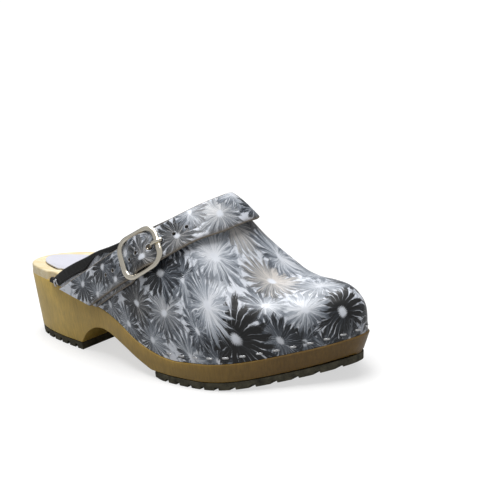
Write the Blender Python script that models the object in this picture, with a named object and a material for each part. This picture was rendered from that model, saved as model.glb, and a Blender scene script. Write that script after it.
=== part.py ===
"""Right swedish clog with a buckled instep strap, in metres, +X to the toe, +Z up.

The wooden sole carries rubber treads under heel and forefoot, a thin insole on top
and a moulded leather upper that closes the toe and is open behind. Lengthwise places
are shares of the sole length, counted from the back of the heel.
"""

import math

import bmesh
import bpy
import numpy as np

# Driving sizes of the sole
SOLE_LENGTH = 0.258
BALL_WIDTH = 0.098
HEEL_LEDGE = 0.0416
FOREFOOT_LEDGE = 0.0164
RIM_ABOVE_LEDGE = 0.006
TOE_SPRING = 0.0115
SPRING_START = 0.68
HEEL_ROUND_LENGTH = 0.345 * SOLE_LENGTH
TOE_ROUND_LENGTH = 0.372 * SOLE_LENGTH
HEEL_BREAST = 0.2504 * SOLE_LENGTH
SHANK_END = 0.562 * SOLE_LENGTH
ARCH_HEIGHT = 0.0208
RIM_WIDTH = 0.0065
LEDGE_STEP = 0.0010
RIM_FALL = 0.0004
RIM_SOFTNESS = 0.0008
LEDGE_SOFTNESS = 0.0005
DISH_DEPTH = 0.0042
TAPER = 0.0040

# Driving sizes of the treads and the insole
TREAD_THICKNESS = 0.0047
TREAD_INSET = 0.0003
TREAD_DRAFT = 0.0004
TREAD_LEAD = 0.0060
LEAD_THICKNESS = 0.0035
LUG_PITCH = 0.0092
GROOVE_WIDTH = 0.0030
GROOVE_DEPTH = 0.0028
SHORTEST_LUG = 0.0020
INSOLE_THICKNESS = 0.0012
INSOLE_LIFT = 0.0009
INSOLE_MARGIN = 0.0025

# Driving sizes of the upper, its binding and its fastening
LEATHER = 0.0018
SKIRT = 0.0070
INSTEP_HEIGHT = 0.1000
TOPLINE_START = 0.157 * SOLE_LENGTH
THROAT_RISE = 0.0995
BINDING_THICKNESS = 0.0010
BINDING_LEG = 0.0055
BINDING_NARROW_LEG = 0.0022
BINDING_NARROWS = 0.0120
BINDING_ROOM_END = 0.248 * SOLE_LENGTH
STRAP_WIDTH = 0.0210
STRAP_THICKNESS = 0.0018
STRAP_RISE = 0.0040
STRAP_FOOT = 0.2713 * SOLE_LENGTH
STRAP_TILT = math.radians(29.7)
STRAP_ABOVE_LEDGE = 0.0008
STRAP_SLANT = 0.0200
BAR_SHOULDER = 0.0022
BAR_RAMP = 0.0075
TAB_UNDER = 0.0005
TAB_THICKNESS = 0.0014
TAB_OVERHANG = 0.0025
TAB_INSET = 0.0035
TAB_TAPER = 0.4
BUCKLE_LENGTH = 0.0300
BUCKLE_WIRE = 0.0011
BUCKLE_BREADTH = 1.3
BUCKLE_CORNER = 0.0075
BUCKLE_PLACE = 0.5233 * SOLE_LENGTH
PRONG_RADIUS = 0.0007
PRONG_HOLE = 0.0078
PRONG_HOLE_DIAMETER = 0.0042
HOLE_PITCH = 0.0082
HOLE_DIAMETER = 0.0024
CLEARANCE = 0.0003


class Table:
    """A short table with named columns, read between its rows by a smooth curve."""

    def __init__(self, columns, *rows):
        data = np.array(rows, dtype=float).T
        self.share = data[0]
        self.columns = dict(zip(columns.split()[1:], data[1:]))

    def at(self, column, share):
        """Value of a column at a share, or at an array of shares."""
        ys = self.columns[column]
        xs = self.share
        x = np.clip(share, xs[0], xs[-1])
        slope = np.gradient(ys, xs)
        i = np.clip(np.searchsorted(xs, x) - 1, 0, len(xs) - 2)
        h = xs[i + 1] - xs[i]
        t = (x - xs[i]) / h
        rise = (3 - 2 * t) * t * t
        bend = t * (1 - t) * h
        return ys[i] + (ys[i + 1] - ys[i]) * rise + bend * ((1 - t) * slope[i] - t * slope[i + 1])


# Half widths and centre line of the sole, in ball widths
PLAN = Table(
    "share lateral medial centre",
    (0.00, 0.339, 0.325, 0.000),
    (0.15, 0.339, 0.325, -0.021),
    (0.35, 0.382, 0.320, -0.048),
    (0.50, 0.482, 0.360, -0.063),
    (0.65, 0.553, 0.460, -0.054),
    (0.78, 0.558, 0.520, -0.024),
    (0.90, 0.400, 0.500, 0.020),
    (1.00, 0.300, 0.300, 0.070),
)

# Ledge: 1 is the heel's ledge height, 0 the forefoot's. Dish: shares of its depth.
# Leather: how far its outer face lies inside the wood's side, in shares of the
# greatest step. Taper: how far the side leans in at its foot, in shares of the taper.
SIDE = Table(
    "share ledge dish leather taper",
    (0.00, 1.00, 0.60, -0.60, 1.00),
    (0.12, 1.05, 1.00, -0.60, 1.00),
    (0.20, 0.985, 1.00, -0.50, 1.00),
    (0.30, 0.814, 0.80, -0.20, 0.90),
    (0.40, 0.628, 0.60, 0.20, 0.70),
    (0.45, 0.453, 0.55, 0.50, 0.60),
    (0.50, 0.230, 0.50, 0.70, 0.50),
    (0.55, 0.076, 0.50, 0.90, 0.40),
    (0.62, -0.035, 0.60, 1.00, 0.35),
    (0.70, -0.008, 0.70, 1.00, 0.35),
    (0.85, 0.000, 0.50, 1.00, 0.50),
    (1.00, 0.000, 0.30, 1.00, 0.95),
)

# Crest of the last above the floor in instep heights, how full its sections are (2 is
# an ellipse, more is boxier), and its shift to the medial side in ball widths
CREST = Table(
    "share height fullness shift",
    (0.15, 1.500, 2.0, 0.00),
    (0.30, 1.400, 2.0, 0.01),
    (0.42, 1.280, 2.0, 0.02),
    (0.52, 1.150, 1.9, 0.03),
    (0.60, 1.085, 1.8, 0.043),
    (0.66, 0.988, 1.8, 0.046),
    (0.70, 0.856, 1.9, 0.046),
    (0.74, 0.735, 2.1, 0.04),
    (0.78, 0.622, 2.4, 0.03),
    (0.82, 0.563, 2.7, 0.02),
    (0.87, 0.545, 3.0, 0.00),
    (0.93, 0.548, 3.2, 0.00),
    (1.00, 0.530, 3.2, 0.00),
)

# Side view of the topline: height above the floor in throat heights
TOPLINE = Table(
    "share height",
    (0.150, 0.420),
    (0.175, 0.445),
    (0.200, 0.490),
    (0.264, 0.580),
    (0.314, 0.640),
    (0.351, 0.688),
    (0.411, 0.749),
    (0.488, 0.839),
    (0.560, 0.930),
    (0.610, 0.995),
    (0.660, 1.060),
)

# Underside of the shank from heel breast to forefoot: share of that run, and height
ARCH = (
    (0.00, -0.20),
    (0.00, 0.20),
    (0.035, 0.42),
    (0.08, 0.61),
    (0.15, 0.80),
    (0.235, 0.95),
    (0.325, 1.00),
    (0.43, 0.95),
    (0.52, 0.85),
    (0.67, 0.66),
    (0.82, 0.44),
    (0.94, 0.28),
    (1.00, 0.20),
    (1.04, -0.20),
)

FAN_START = 0.72
TOE_POLE = 0.875
POLE_MERGE = 0.0010
SKIRT_SHARE = 0.14
LATERAL, MEDIAL = -1, 1
WOOD_BOTTOM = TREAD_THICKNESS + CLEARANCE
ORIGIN_X = (TAPER + HEEL_BREAST) / 2
HEEL_GROOVE = ORIGIN_X + (LUG_PITCH - GROOVE_WIDTH) / 2 - 3 * LUG_PITCH
FOREFOOT_GROOVE = SHANK_END + TREAD_LEAD + GROOVE_WIDTH
SOLE_STATIONS = 44
OPEN_COLUMNS = 24
CLOSED_COLUMNS = 24
DENSE = 600
MERGE = 0.000002
SHARP = math.radians(35)


def spring(x):
    """Rise of the underside towards the toe at a place along the sole."""
    start = SPRING_START * SOLE_LENGTH
    run = np.clip((np.asarray(x) - start) / (SOLE_LENGTH - start), 0, None)
    return TOE_SPRING * run**2


def ledge_height(x):
    """Height of the ledge on which the leather's lower edge stands."""
    step = SIDE.at("ledge", np.asarray(x) / SOLE_LENGTH)
    return FOREFOOT_LEDGE + (HEEL_LEDGE - FOREFOOT_LEDGE) * step + spring(x)


def rim_height(x):
    """Height of the footbed's rim."""
    return ledge_height(x) + RIM_ABOVE_LEDGE


def crest_height(x):
    """Height of the last's crest at a place along the sole."""
    return INSTEP_HEIGHT * CREST.at("height", np.asarray(x) / SOLE_LENGTH)


def topline_height(x):
    """Height of the topline at a place along the sole."""
    return THROAT_RISE * TOPLINE.at("height", np.asarray(x) / SOLE_LENGTH)


def outline(side, turn):
    """Plan of the sole's edge: turn runs from 0 at the heel to 1 at the toe."""
    share = (1 - np.cos(np.pi * np.asarray(turn))) / 2
    column = "lateral" if side == LATERAL else "medial"
    half = PLAN.at(column, share) * BALL_WIDTH
    for length, from_end, power in (
        (HEEL_ROUND_LENGTH, share, 2.2),
        (TOE_ROUND_LENGTH, 1 - share, 2.3),
    ):
        run = np.clip(from_end * SOLE_LENGTH / length, 0, 1)
        half = half * np.clip(1 - (1 - run) ** power, 0, 1) ** (1 / power)
    return share * SOLE_LENGTH, PLAN.at("centre", share) * BALL_WIDTH + side * half


def edge_ring(count):
    """Closed outline of the sole with its outward normals, from the heel by the
    lateral side to the toe and back."""
    turn = np.linspace(0, 1, count + 1)
    lateral = np.column_stack(outline(LATERAL, turn))
    medial = np.column_stack(outline(MEDIAL, turn))[-2:0:-1]
    ring = np.vstack([lateral, medial])
    along = np.roll(ring, -1, axis=0) - np.roll(ring, 1, axis=0)
    along /= np.linalg.norm(along, axis=1)[:, None]
    return ring, np.column_stack([along[:, 1], -along[:, 0]])


def inset_edges(inset):
    """Dense lateral and medial edges, moved in by inset(x), as two arrays of points."""
    ring, normal = edge_ring(DENSE)
    ring = ring - normal * inset(ring[:, 0])[:, None]
    return ring[: DENSE + 1], np.vstack([ring[0:1], ring[:DENSE - 1:-1]])


def leather_inset(x):
    """How far the leather's outer face lies inside the wood's side."""
    return SIDE.at("leather", np.asarray(x) / SOLE_LENGTH) * LEDGE_STEP


def bottom_inset(x):
    """How far the wood has tapered in at its underside."""
    return SIDE.at("taper", np.asarray(x) / SOLE_LENGTH) * TAPER


LEATHER_EDGES = dict(zip((LATERAL, MEDIAL), inset_edges(leather_inset)))


def form_sections(x):
    """Sections of the last across the sole at x: crest place and height, height where
    the dome starts, distances from the crest to both edges, and fullness."""
    share = x / SOLE_LENGTH
    edges = [np.interp(x, *LEATHER_EDGES[side].T) for side in (LATERAL, MEDIAL)]
    crest_y = (edges[0] + edges[1]) / 2 + CREST.at("shift", share) * BALL_WIDTH
    base = ledge_height(x) + SKIRT
    height = crest_height(x) - base
    reach = (crest_y - edges[0], edges[1] - crest_y)
    return crest_y, base, height, reach, CREST.at("fullness", share)


def onto_form(points):
    """Moves points across the sole onto the outside of the last."""
    points = np.array(points, dtype=float)
    crest_y, base, height, reach, full = form_sections(points[:, 0])
    y = points[:, 1] - crest_y
    z = points[:, 2] - base
    side = np.where(y < 0, reach[0], reach[1])
    ry = np.abs(y) / side
    rz = np.clip(z, 0, None) / height
    low = np.full(len(y), 1e-3)
    high = np.full(len(y), 50.0)
    for _ in range(50):
        mid = (low + high) / 2
        outside = (mid * ry) ** full + (mid * rz) ** full > 1
        high = np.where(outside, mid, high)
        low = np.where(outside, low, mid)
    scale = np.where(z > 0, low, 1 / np.maximum(ry, 1e-6))
    points[:, 1] = crest_y + y * scale
    points[:, 2] = np.where(z > 0, base + z * scale, points[:, 2])
    return points


def unit(vectors):
    """Vectors made one long."""
    return vectors / np.linalg.norm(vectors, axis=1)[:, None]


def form_normals(points):
    """Outward normals of the last at points on it."""
    step = 0.0008
    crest_y, base, _, reach, _ = form_sections(points[:, 0])
    out = np.column_stack([np.zeros(len(points)), points[:, 1] - crest_y, points[:, 2] - base])
    out[:, 2] = np.maximum(out[:, 2], 0)
    out = unit(out)
    around = np.column_stack([np.zeros(len(points)), -out[:, 2], out[:, 1]]) * step
    along = np.array([step, 0, 0])
    a = onto_form(points + along) - onto_form(points - along)
    b = onto_form(points + around) - onto_form(points - around)
    normal = unit(np.cross(a, b))
    flip = np.sum(normal * out, axis=1) < 0
    normal[flip] *= -1
    return normal


def skin_points(points, height):
    """Points laid on the last and lifted off it by height."""
    on_form = onto_form(points)
    return on_form + form_normals(on_form) * np.asarray(height)[:, None]


def form_row(side, turn, rows):
    """One row of the last's outside, from the ledge to the crest. Rows run straight
    across the sole and fan out round the toe."""
    edge_x, edge_y = [float(np.interp(turn, np.linspace(0, 1, DENSE + 1), column))
                      for column in LEATHER_EDGES[side].T]
    start, pole = FAN_START * SOLE_LENGTH, TOE_POLE * SOLE_LENGTH
    crest_x = (1 - math.cos(math.pi * turn)) / 2 * SOLE_LENGTH
    if crest_x > start:
        power = (SOLE_LENGTH - start) / (pole - start)
        run = min((crest_x - start) / (SOLE_LENGTH - start), 1)
        to_pole = (pole - start) * (1 - run) ** power
        crest_x = pole - (to_pole if to_pole > POLE_MERGE else 0)
    crest_y = float(form_sections(np.array([crest_x]))[0][0])
    ledge = float(ledge_height(edge_x))
    full = float(CREST.at("fullness", edge_x / SOLE_LENGTH))
    climb = np.clip((rows - SKIRT_SHARE) / (1 - SKIRT_SHARE), 0, 1) * math.pi / 2
    out = np.clip(np.cos(climb), 0, 1) ** (2 / full)
    up = np.sin(climb) ** (2 / full)
    low = CLEARANCE + np.clip(rows / SKIRT_SHARE, 0, 1) * (SKIRT - CLEARANCE)
    x = crest_x + (edge_x - crest_x) * out
    return np.column_stack([
        x,
        crest_y + (edge_y - crest_y) * out,
        ledge + low + (crest_height(x) - ledge - SKIRT) * up,
    ])


def topline_row(x):
    """Share of a row at which the topline cuts it, for a row at x behind the throat."""
    crest_y, base, height, reach, full = form_sections(np.array([x]))
    above = float(topline_height(x)) - base[0]
    if above < 0:
        return SKIRT_SHARE * max(above + SKIRT, 0.0012) / SKIRT
    rise = min(above / height[0], 1)
    climb = math.asin(rise ** (full[0] / 2))
    return SKIRT_SHARE + (1 - SKIRT_SHARE) * climb / (math.pi / 2)


def throat_place():
    """Where the topline crosses the crest."""
    xs = np.linspace(0.4 * SOLE_LENGTH, 0.7 * SOLE_LENGTH, 2000)
    return float(xs[np.argmax(topline_height(xs) > crest_height(xs))])


def turn_at(x):
    """Turn of the outline at a place along the sole."""
    return math.acos(1 - 2 * x / SOLE_LENGTH) / math.pi


def finish_mesh(name, verts, faces, colour, rough, metal=0.0, close=True):
    """Makes a named object with its own material, with the origin under the heel."""
    shift = (-ORIGIN_X, 0, 0)
    mesh = bpy.data.meshes.new(name)
    mesh.from_pydata([tuple(np.add(v, shift)) for v in verts], [], faces)
    bm = bmesh.new()
    bm.from_mesh(mesh)
    bmesh.ops.remove_doubles(bm, verts=bm.verts, dist=MERGE)
    bmesh.ops.dissolve_degenerate(bm, edges=bm.edges, dist=MERGE)
    bmesh.ops.triangulate(bm, faces=bm.faces, quad_method="SHORT_EDGE")
    if close:
        bmesh.ops.recalc_face_normals(bm, faces=bm.faces)
    bm.to_mesh(mesh)
    bm.free()
    mesh.shade_smooth()
    mesh.set_sharp_from_angle(angle=SHARP)
    part = bpy.data.objects.new(name, mesh)
    bpy.context.scene.collection.objects.link(part)
    material = bpy.data.materials.new(name)
    material.use_nodes = True
    shader = material.node_tree.nodes["Principled BSDF"]
    shader.inputs["Base Color"].default_value = (*colour, 1)
    shader.inputs["Roughness"].default_value = rough
    shader.inputs["Metallic"].default_value = metal
    mesh.materials.append(material)
    return part


def cut(part, cutter):
    """Takes the cutter's shape out of a part."""
    cutter.hide_render = True
    cutter.display_type = "WIRE"
    boolean = part.modifiers.new(cutter.name, "BOOLEAN")
    boolean.operation = "DIFFERENCE"
    boolean.object = cutter


class Shell:
    """Collects points and faces of one solid."""

    def __init__(self):
        self.verts = []
        self.faces = []

    def add(self, points):
        """Adds points and returns their numbers."""
        first = len(self.verts)
        self.verts.extend(np.asarray(points, dtype=float).reshape(-1, 3))
        return list(range(first, len(self.verts)))

    def bridge(self, a, b, closed=True):
        """Joins two loops of as many points by a band of faces."""
        count = len(a)
        for i in range(count if closed else count - 1):
            j = (i + 1) % count
            self.faces.append((a[i], a[j], b[j], b[i]))

    def loft(self, sections, closed_path=False):
        """Joins closed sections in a row, with flat ends unless the path is closed."""
        for a, b in zip(sections, sections[1:]):
            self.bridge(a, b)
        if closed_path:
            self.bridge(sections[-1], sections[0])
        else:
            self.faces.append(tuple(sections[0]))
            self.faces.append(tuple(reversed(sections[-1])))

    def ladder(self, ring, steps, height):
        """Fills a ring made by edge_ring with rungs from side to side, whose inner
        points take their height from a function of place."""
        count = len(ring) // 2
        rungs = [[ring[0]]]
        for i in range(1, count):
            a, b = np.array(self.verts[ring[i]]), np.array(self.verts[ring[-i]])
            inner = [a + (b - a) * k / steps for k in range(1, steps)]
            inner = [(p[0], p[1], height(p[0], p[1])) for p in inner]
            rungs.append([ring[i], *self.add(inner), ring[-i]])
        rungs.append([ring[count]])
        for a, b in zip(rungs, rungs[1:]):
            for k in range(steps):
                corners = [a[min(k, len(a) - 1)], a[min(k + 1, len(a) - 1)],
                           b[min(k + 1, len(b) - 1)], b[min(k, len(b) - 1)]]
                self.faces.append(tuple(dict.fromkeys(corners)))


def rabbet_inset(x):
    """How far the wall behind the leather lies inside the wood's side: nothing behind
    the topline's end, and deeper where the binding goes down behind the leather."""
    lead, tail, least = 0.003, 0.004, 0.0001
    start = TOPLINE_START - tail
    x = np.asarray(x)
    worn = np.clip((x - start + lead) / lead, 0, 1)
    bound = worn * np.clip((BINDING_ROOM_END - x) / tail, 0, 1)
    full = leather_inset(x) + LEATHER + CLEARANCE + bound * (BINDING_THICKNESS + 2 * CLEARANCE)
    return least + worn * (full - least)


FOOTBED_EDGES = inset_edges(lambda x: rabbet_inset(x) + RIM_WIDTH)


def footbed_height(x, y):
    """Height of the dished footbed."""
    low = np.interp(x, *FOOTBED_EDGES[0].T)
    high = np.interp(x, *FOOTBED_EDGES[1].T)
    across = np.clip(abs(2 * y - low - high) / np.maximum(high - low, 1e-4), 0, 1)
    from_end = np.minimum(x, SOLE_LENGTH - x) - RIM_WIDTH - INSOLE_MARGIN
    ends = np.clip(from_end / 0.020, 0, 1)
    depth = DISH_DEPTH * SIDE.at("dish", np.asarray(x) / SOLE_LENGTH)
    return rim_height(x) - RIM_FALL - depth * (1 - across**2) * ends * (2 - ends)


def make_sole():
    """Wooden sole: tapered sides, a ledge for the leather, a rim and a dished footbed."""
    shell = Shell()
    ring, normal = edge_ring(SOLE_STATIONS)
    x = ring[:, 0]
    step = rabbet_inset(x)
    soft = np.minimum(LEDGE_SOFTNESS, step * 0.3)
    profile = (
        (bottom_inset(x), WOOD_BOTTOM + spring(x)),
        (0 * x, ledge_height(x) - soft),
        (soft, ledge_height(x)),
        (step, ledge_height(x)),
        (step, rim_height(x) - RIM_SOFTNESS),
        (step + RIM_SOFTNESS, rim_height(x)),
        (step + RIM_WIDTH, rim_height(x) - RIM_FALL),
    )
    rings = []
    for inset, height in profile:
        rings.append(shell.add(np.column_stack([ring - normal * inset[:, None], height])))
    for a, b in zip(rings, rings[1:]):
        shell.bridge(a, b)
    shell.ladder(rings[0], 4, lambda px, py: WOOD_BOTTOM + float(spring(px)))
    shell.ladder(rings[-1], 8, lambda px, py: float(footbed_height(px, py)))
    sole = finish_mesh("sole", shell.verts, shell.faces, (0.36, 0.22, 0.08), 0.35)
    cutter = Shell()
    run = SHANK_END - HEEL_BREAST
    sides = []
    for y in (-BALL_WIDTH, BALL_WIDTH):
        sides.append(cutter.add([(HEEL_BREAST + a * run, y, b * ARCH_HEIGHT) for a, b in ARCH]))
    cutter.loft(sides)
    cut(sole, finish_mesh("arch_cutter", cutter.verts, cutter.faces, (1, 0, 0), 0.5))
    return sole


def make_tread(name, start, end, lead, first_groove):
    """Rubber tread with cross lugs, from start to end. A lead is a front edge that
    slopes up. Its side walls and its grooves have a little draft."""
    low, high = inset_edges(lambda x: bottom_inset(x) + TREAD_INSET)
    places = [(start, TREAD_THICKNESS - LEAD_THICKNESS if lead else 0.0), (start + lead, 0.0)]
    if not lead:
        places[1:] = [(start + step, 0.0) for step in (0.0010, 0.0030)]
    groove = first_groove
    while groove + GROOVE_WIDTH + SHORTEST_LUG < end:
        if groove > places[-1][0] + SHORTEST_LUG:
            places += [
                (groove, 0.0),
                (groove + TREAD_DRAFT, GROOVE_DEPTH),
                (groove + GROOVE_WIDTH - TREAD_DRAFT, GROOVE_DEPTH),
                (groove + GROOVE_WIDTH, 0.0),
            ]
        groove += LUG_PITCH
    if end > SHANK_END:
        last = places[-1][0]
        places += [(end - back, 0.0) for back in (0.0040, 0.0015) if end - back > last + 0.0005]
    places.append((end, 0.0))
    shell = Shell()
    sections = []
    for x, under in places:
        lateral = float(np.interp(x, *low.T))
        medial = float(np.interp(x, *high.T))
        rise = float(spring(x))
        sections.append(shell.add([
            (x, lateral, rise + TREAD_THICKNESS),
            (x, lateral + TREAD_DRAFT, rise + under),
            (x, medial - TREAD_DRAFT, rise + under),
            (x, medial, rise + TREAD_THICKNESS),
        ]))
    shell.loft(sections)
    return finish_mesh(name, shell.verts, shell.faces, (0.05, 0.045, 0.04), 0.8)


def make_insole():
    """Thin pad that lies in the dished footbed."""
    shell = Shell()
    ring, normal = edge_ring(SOLE_STATIONS)
    inset = rabbet_inset(ring[:, 0]) + RIM_WIDTH + INSOLE_MARGIN
    plan = ring - normal * inset[:, None]
    loops = []
    for lift in (INSOLE_LIFT, INSOLE_LIFT + INSOLE_THICKNESS):
        bed = [float(footbed_height(x, y)) + lift for x, y in plan]
        loops.append(shell.add(np.column_stack([plan, bed])))
        shell.ladder(loops[-1], 6, lambda px, py, up=lift: float(footbed_height(px, py)) + up)
    shell.bridge(loops[0], loops[1])
    return finish_mesh("insole", shell.verts, shell.faces, (0.75, 0.74, 0.78), 0.7)


def upper_columns():
    """Turns of the upper's columns and the share of its row at which each one ends,
    first those behind the throat, and how many of those there are."""
    throat = throat_place()
    back = throat - TOPLINE_START
    places = [throat - back * (1 - k / OPEN_COLUMNS) ** 1.25 for k in range(OPEN_COLUMNS)]
    columns = [(turn_at(x), topline_row(x)) for x in places]
    first = turn_at(throat)
    steps = np.linspace(0, 1, CLOSED_COLUMNS + 1)
    return columns + [(first + (1 - first) * k, 1.0) for k in steps], OPEN_COLUMNS


def make_upper():
    """Moulded leather upper, one hollow wall from the ledge to the topline."""
    columns, _ = upper_columns()
    shares = np.array([0, 0.14, 0.22, 0.30, 0.38, 0.47, 0.56, 0.66, 0.76, 0.88, 1.0])
    shell = Shell()
    for side in (LATERAL, MEDIAL):
        grid = []
        for turn, top in columns:
            even = min(1, top / (1 - top + 1e-6) / 2)
            grid.append(shell.add(form_row(side, turn, shares * (top + (1 - top) * (1 - shares) * even))))
        for a, b in zip(grid, grid[1:]):
            for k in range(len(shares) - 1):
                face = (a[k], b[k], b[k + 1], a[k + 1])
                shell.faces.append(face if side == LATERAL else face[::-1])
    upper = finish_mesh("upper", shell.verts, shell.faces, (0.55, 0.56, 0.6), 0.25, close=False)
    wall = upper.modifiers.new("wall", "SOLIDIFY")
    wall.thickness = LEATHER
    wall.offset = -1
    wall.use_even_offset = True
    return upper


def make_binding():
    """Padded binding folded over the topline, from the lateral to the medial ledge."""
    columns, throat = upper_columns()
    line = {}
    for side in (LATERAL, MEDIAL):
        line[side] = [form_row(side, turn, np.array([top]))[0] for turn, top in columns[: throat + 1]]
    path = np.array(line[LATERAL] + line[MEDIAL][-2::-1])
    along = unit(np.gradient(path, axis=0))
    normal = form_normals(path)
    out = unit(np.cross(normal, along))
    middle = -LEATHER / 2
    half = LEATHER / 2 + CLEARANCE + BINDING_THICKNESS
    section = [(middle + half * math.cos(a), half * math.sin(a)) for a in np.linspace(0, math.pi, 5)]
    section += [
        (middle - half, -1),
        (middle - half + BINDING_THICKNESS, -1),
        (-LEATHER - CLEARANCE, CLEARANCE),
        (CLEARANCE, CLEARANCE),
        (CLEARANCE, -1),
        (CLEARANCE + BINDING_THICKNESS, -1),
    ]
    shell = Shell()
    loops = []
    for point, outward in zip(path, out):
        room = (point[2] - ledge_height(point[0]) - 2 * CLEARANCE) / max(outward[2], 0.3)
        leg = np.interp(
            point[0] - STRAP_FOOT,
            (-BINDING_NARROWS, BINDING_NARROWS),
            (BINDING_LEG, BINDING_NARROW_LEG),
        )
        spots = []
        for _, reach in section:
            spots.append(point + outward * (-min(leg, room) if reach == -1 else reach))
        loops.append(shell.add(skin_points(np.array(spots), [h for h, _ in section])))
    shell.loft(loops)
    return finish_mesh("collar_binding", shell.verts, shell.faces, (0.01, 0.01, 0.01), 0.4)


def strap_path():
    """Centre line of the strap on the last: distances from the crest, lateral side
    negative, and the points. It lies in a plane that climbs towards the toe."""
    xs = np.linspace(STRAP_FOOT - 0.03, FAN_START * SOLE_LENGTH, 4000)
    plane = float(ledge_height(STRAP_FOOT)) + np.tan(STRAP_TILT) * (xs - STRAP_FOOT)
    crest_y, base, height, reach, full = form_sections(xs)
    top = int(np.argmax(plane > base + height))
    xs, plane = xs[:top], plane[:top]
    half = []
    for side in (0, 1):
        rise = np.clip((plane - base[:top]) / height[:top], 0, 1)
        out = (1 - rise ** full[:top]) ** (1 / full[:top])
        y = crest_y[:top] + (-1, 1)[side] * reach[side][:top] * out
        half.append(np.column_stack([xs, y, plane]))
    points = np.vstack([half[0], half[1][::-1]])
    length = np.concatenate([[0], np.cumsum(np.linalg.norm(np.diff(points, axis=0), axis=1))])
    return length - length[top - 1], points


STRAP_LENGTHS, STRAP_POINTS = strap_path()


def strap_centre(u):
    """Point of the strap's centre line at distances u from the crest, softened."""
    spread = 0.004
    total = 0
    for offset in (-1.0, -0.5, 0.0, 0.5, 1.0):
        at = np.asarray(u) + offset * spread
        total = total + np.column_stack([np.interp(at, STRAP_LENGTHS, c) for c in STRAP_POINTS.T])
    return total / 5


def band_points(u, w, h):
    """Points of the strap's own space: u along it, w across it towards the heel and
    h off the leather."""
    u, w, h = (np.asarray(a, dtype=float) for a in (u, w, h))
    centre = onto_form(strap_centre(u))
    along = unit(strap_centre(u + 0.001) - strap_centre(u - 0.001))
    across = unit(np.cross(form_normals(centre), along))
    across *= np.where(across[:, 2] < 0, -1, 1)[:, None]
    return skin_points(centre + across * w[:, None], h)


def strap_end(w, side):
    """Distance along the strap at which its edge w meets the ledge."""
    reach = STRAP_LENGTHS[0] if side == LATERAL else STRAP_LENGTHS[-1]
    us = np.linspace(reach / 2, reach * 0.995, 160)
    spots = band_points(us, w + 0 * us, 0 * us)
    above = spots[:, 2] - ledge_height(spots[:, 0]) - STRAP_ABOVE_LEDGE
    return float(us[np.argmax(above < 0)])


BUCKLE_U = float(np.interp(BUCKLE_PLACE, STRAP_POINTS[:, 0][STRAP_LENGTHS < 0],
                           STRAP_LENGTHS[STRAP_LENGTHS < 0]))
STRAP_UNDER = TAB_UNDER + TAB_THICKNESS + CLEARANCE
BAR_RADIUS = BUCKLE_WIRE
BAR_HEIGHT = CLEARANCE + BAR_RADIUS + CLEARANCE + 2 * PRONG_RADIUS
STRAP_OVER_BAR = BAR_HEIGHT + BAR_RADIUS + 2 * CLEARANCE + 2 * PRONG_RADIUS
FRAME_HEIGHT = STRAP_UNDER + STRAP_THICKNESS + CLEARANCE + BUCKLE_WIRE
FRAME_HALF_LENGTH = BUCKLE_LENGTH / 2 - BUCKLE_BREADTH * BUCKLE_WIRE
FRAME_HALF_WIDTH = STRAP_WIDTH / 2 + CLEARANCE + BUCKLE_BREADTH * BUCKLE_WIRE


def strap_lift(u):
    """Height of the strap's underside off the leather: it stands proud over the
    instep, rises over the buckle's bar and comes down to the ledge."""
    u = np.asarray(u, dtype=float)
    over_bar = np.clip(1 - (np.abs(u - BUCKLE_U) - BAR_SHOULDER) / BAR_RAMP, 0, 1)
    over_bar = over_bar**2 * (3 - 2 * over_bar) * (STRAP_OVER_BAR - STRAP_UNDER)
    crest_run = abs(BUCKLE_U) - BUCKLE_LENGTH / 2 - BAR_SHOULDER
    crest = np.clip(1 - np.abs(u) / crest_run, 0, 1)
    crest = crest**2 * (3 - 2 * crest) * (STRAP_RISE - STRAP_UNDER)
    return STRAP_UNDER + over_bar + crest


def strap_section(u, w, low, thickness):
    """One closed section of a band: its underside and its face above."""
    heights = np.concatenate([low, (low + thickness)[::-1]])
    return band_points(np.concatenate([u, u[::-1]]), np.concatenate([w, w[::-1]]), heights)


def punch(part, name, u, w, low, high, radius):
    """Punches a round hole through a band."""
    shell = Shell()
    loops = []
    angles = np.linspace(0, 2 * math.pi, 12, endpoint=False)
    for h in (low, high):
        ring = band_points(u + radius * np.cos(angles), w + radius * np.sin(angles), np.full(12, h))
        loops.append(shell.add(ring))
    shell.loft(loops)
    cut(part, finish_mesh(name, shell.verts, shell.faces, (1, 0, 0), 0.5))


def make_strap():
    """Instep strap from ledge to ledge, whose free end runs through the buckle."""
    half = STRAP_WIDTH / 2
    rows = np.array([-half, 0.0, half])
    feet = [np.array([strap_end(w, side) for w in rows]) for side in (LATERAL, MEDIAL)]
    ramp = BAR_SHOULDER + np.array([0, 0.5, 1]) * BAR_RAMP
    bar = BUCKLE_U + np.concatenate([-ramp[::-1], ramp])
    clear = BUCKLE_LENGTH / 2 + 0.001
    marks = np.concatenate([
        np.linspace(feet[0][1], BUCKLE_U - clear, 9),
        bar,
        np.linspace(BUCKLE_U + clear, -BUCKLE_U - clear, 20),
        np.linspace(-BUCKLE_U - clear, feet[1][1], 16)[1:],
    ])
    shell = Shell()
    loops = []
    for mark in marks:
        slant = np.zeros(3)
        for foot in feet:
            near = np.clip(1 - abs(mark - foot[1]) / STRAP_SLANT, 0, 1)
            slant += (foot - foot[1]) * near
        u = mark + slant
        loops.append(shell.add(strap_section(u, rows, strap_lift(u), STRAP_THICKNESS)))
    shell.loft(loops)
    strap = finish_mesh("instep_strap", shell.verts, shell.faces, (0.5, 0.51, 0.55), 0.3)
    for k in range(-5, 4):
        radius = (HOLE_DIAMETER if k else PRONG_HOLE_DIAMETER) / 2
        u = BUCKLE_U + PRONG_HOLE + k * HOLE_PITCH
        low = float(strap_lift(u))
        punch(strap, f"hole_cutter_{k + 6}", u, 0.0, low - 0.002, low + STRAP_THICKNESS + 0.002, radius)
    return strap


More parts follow.
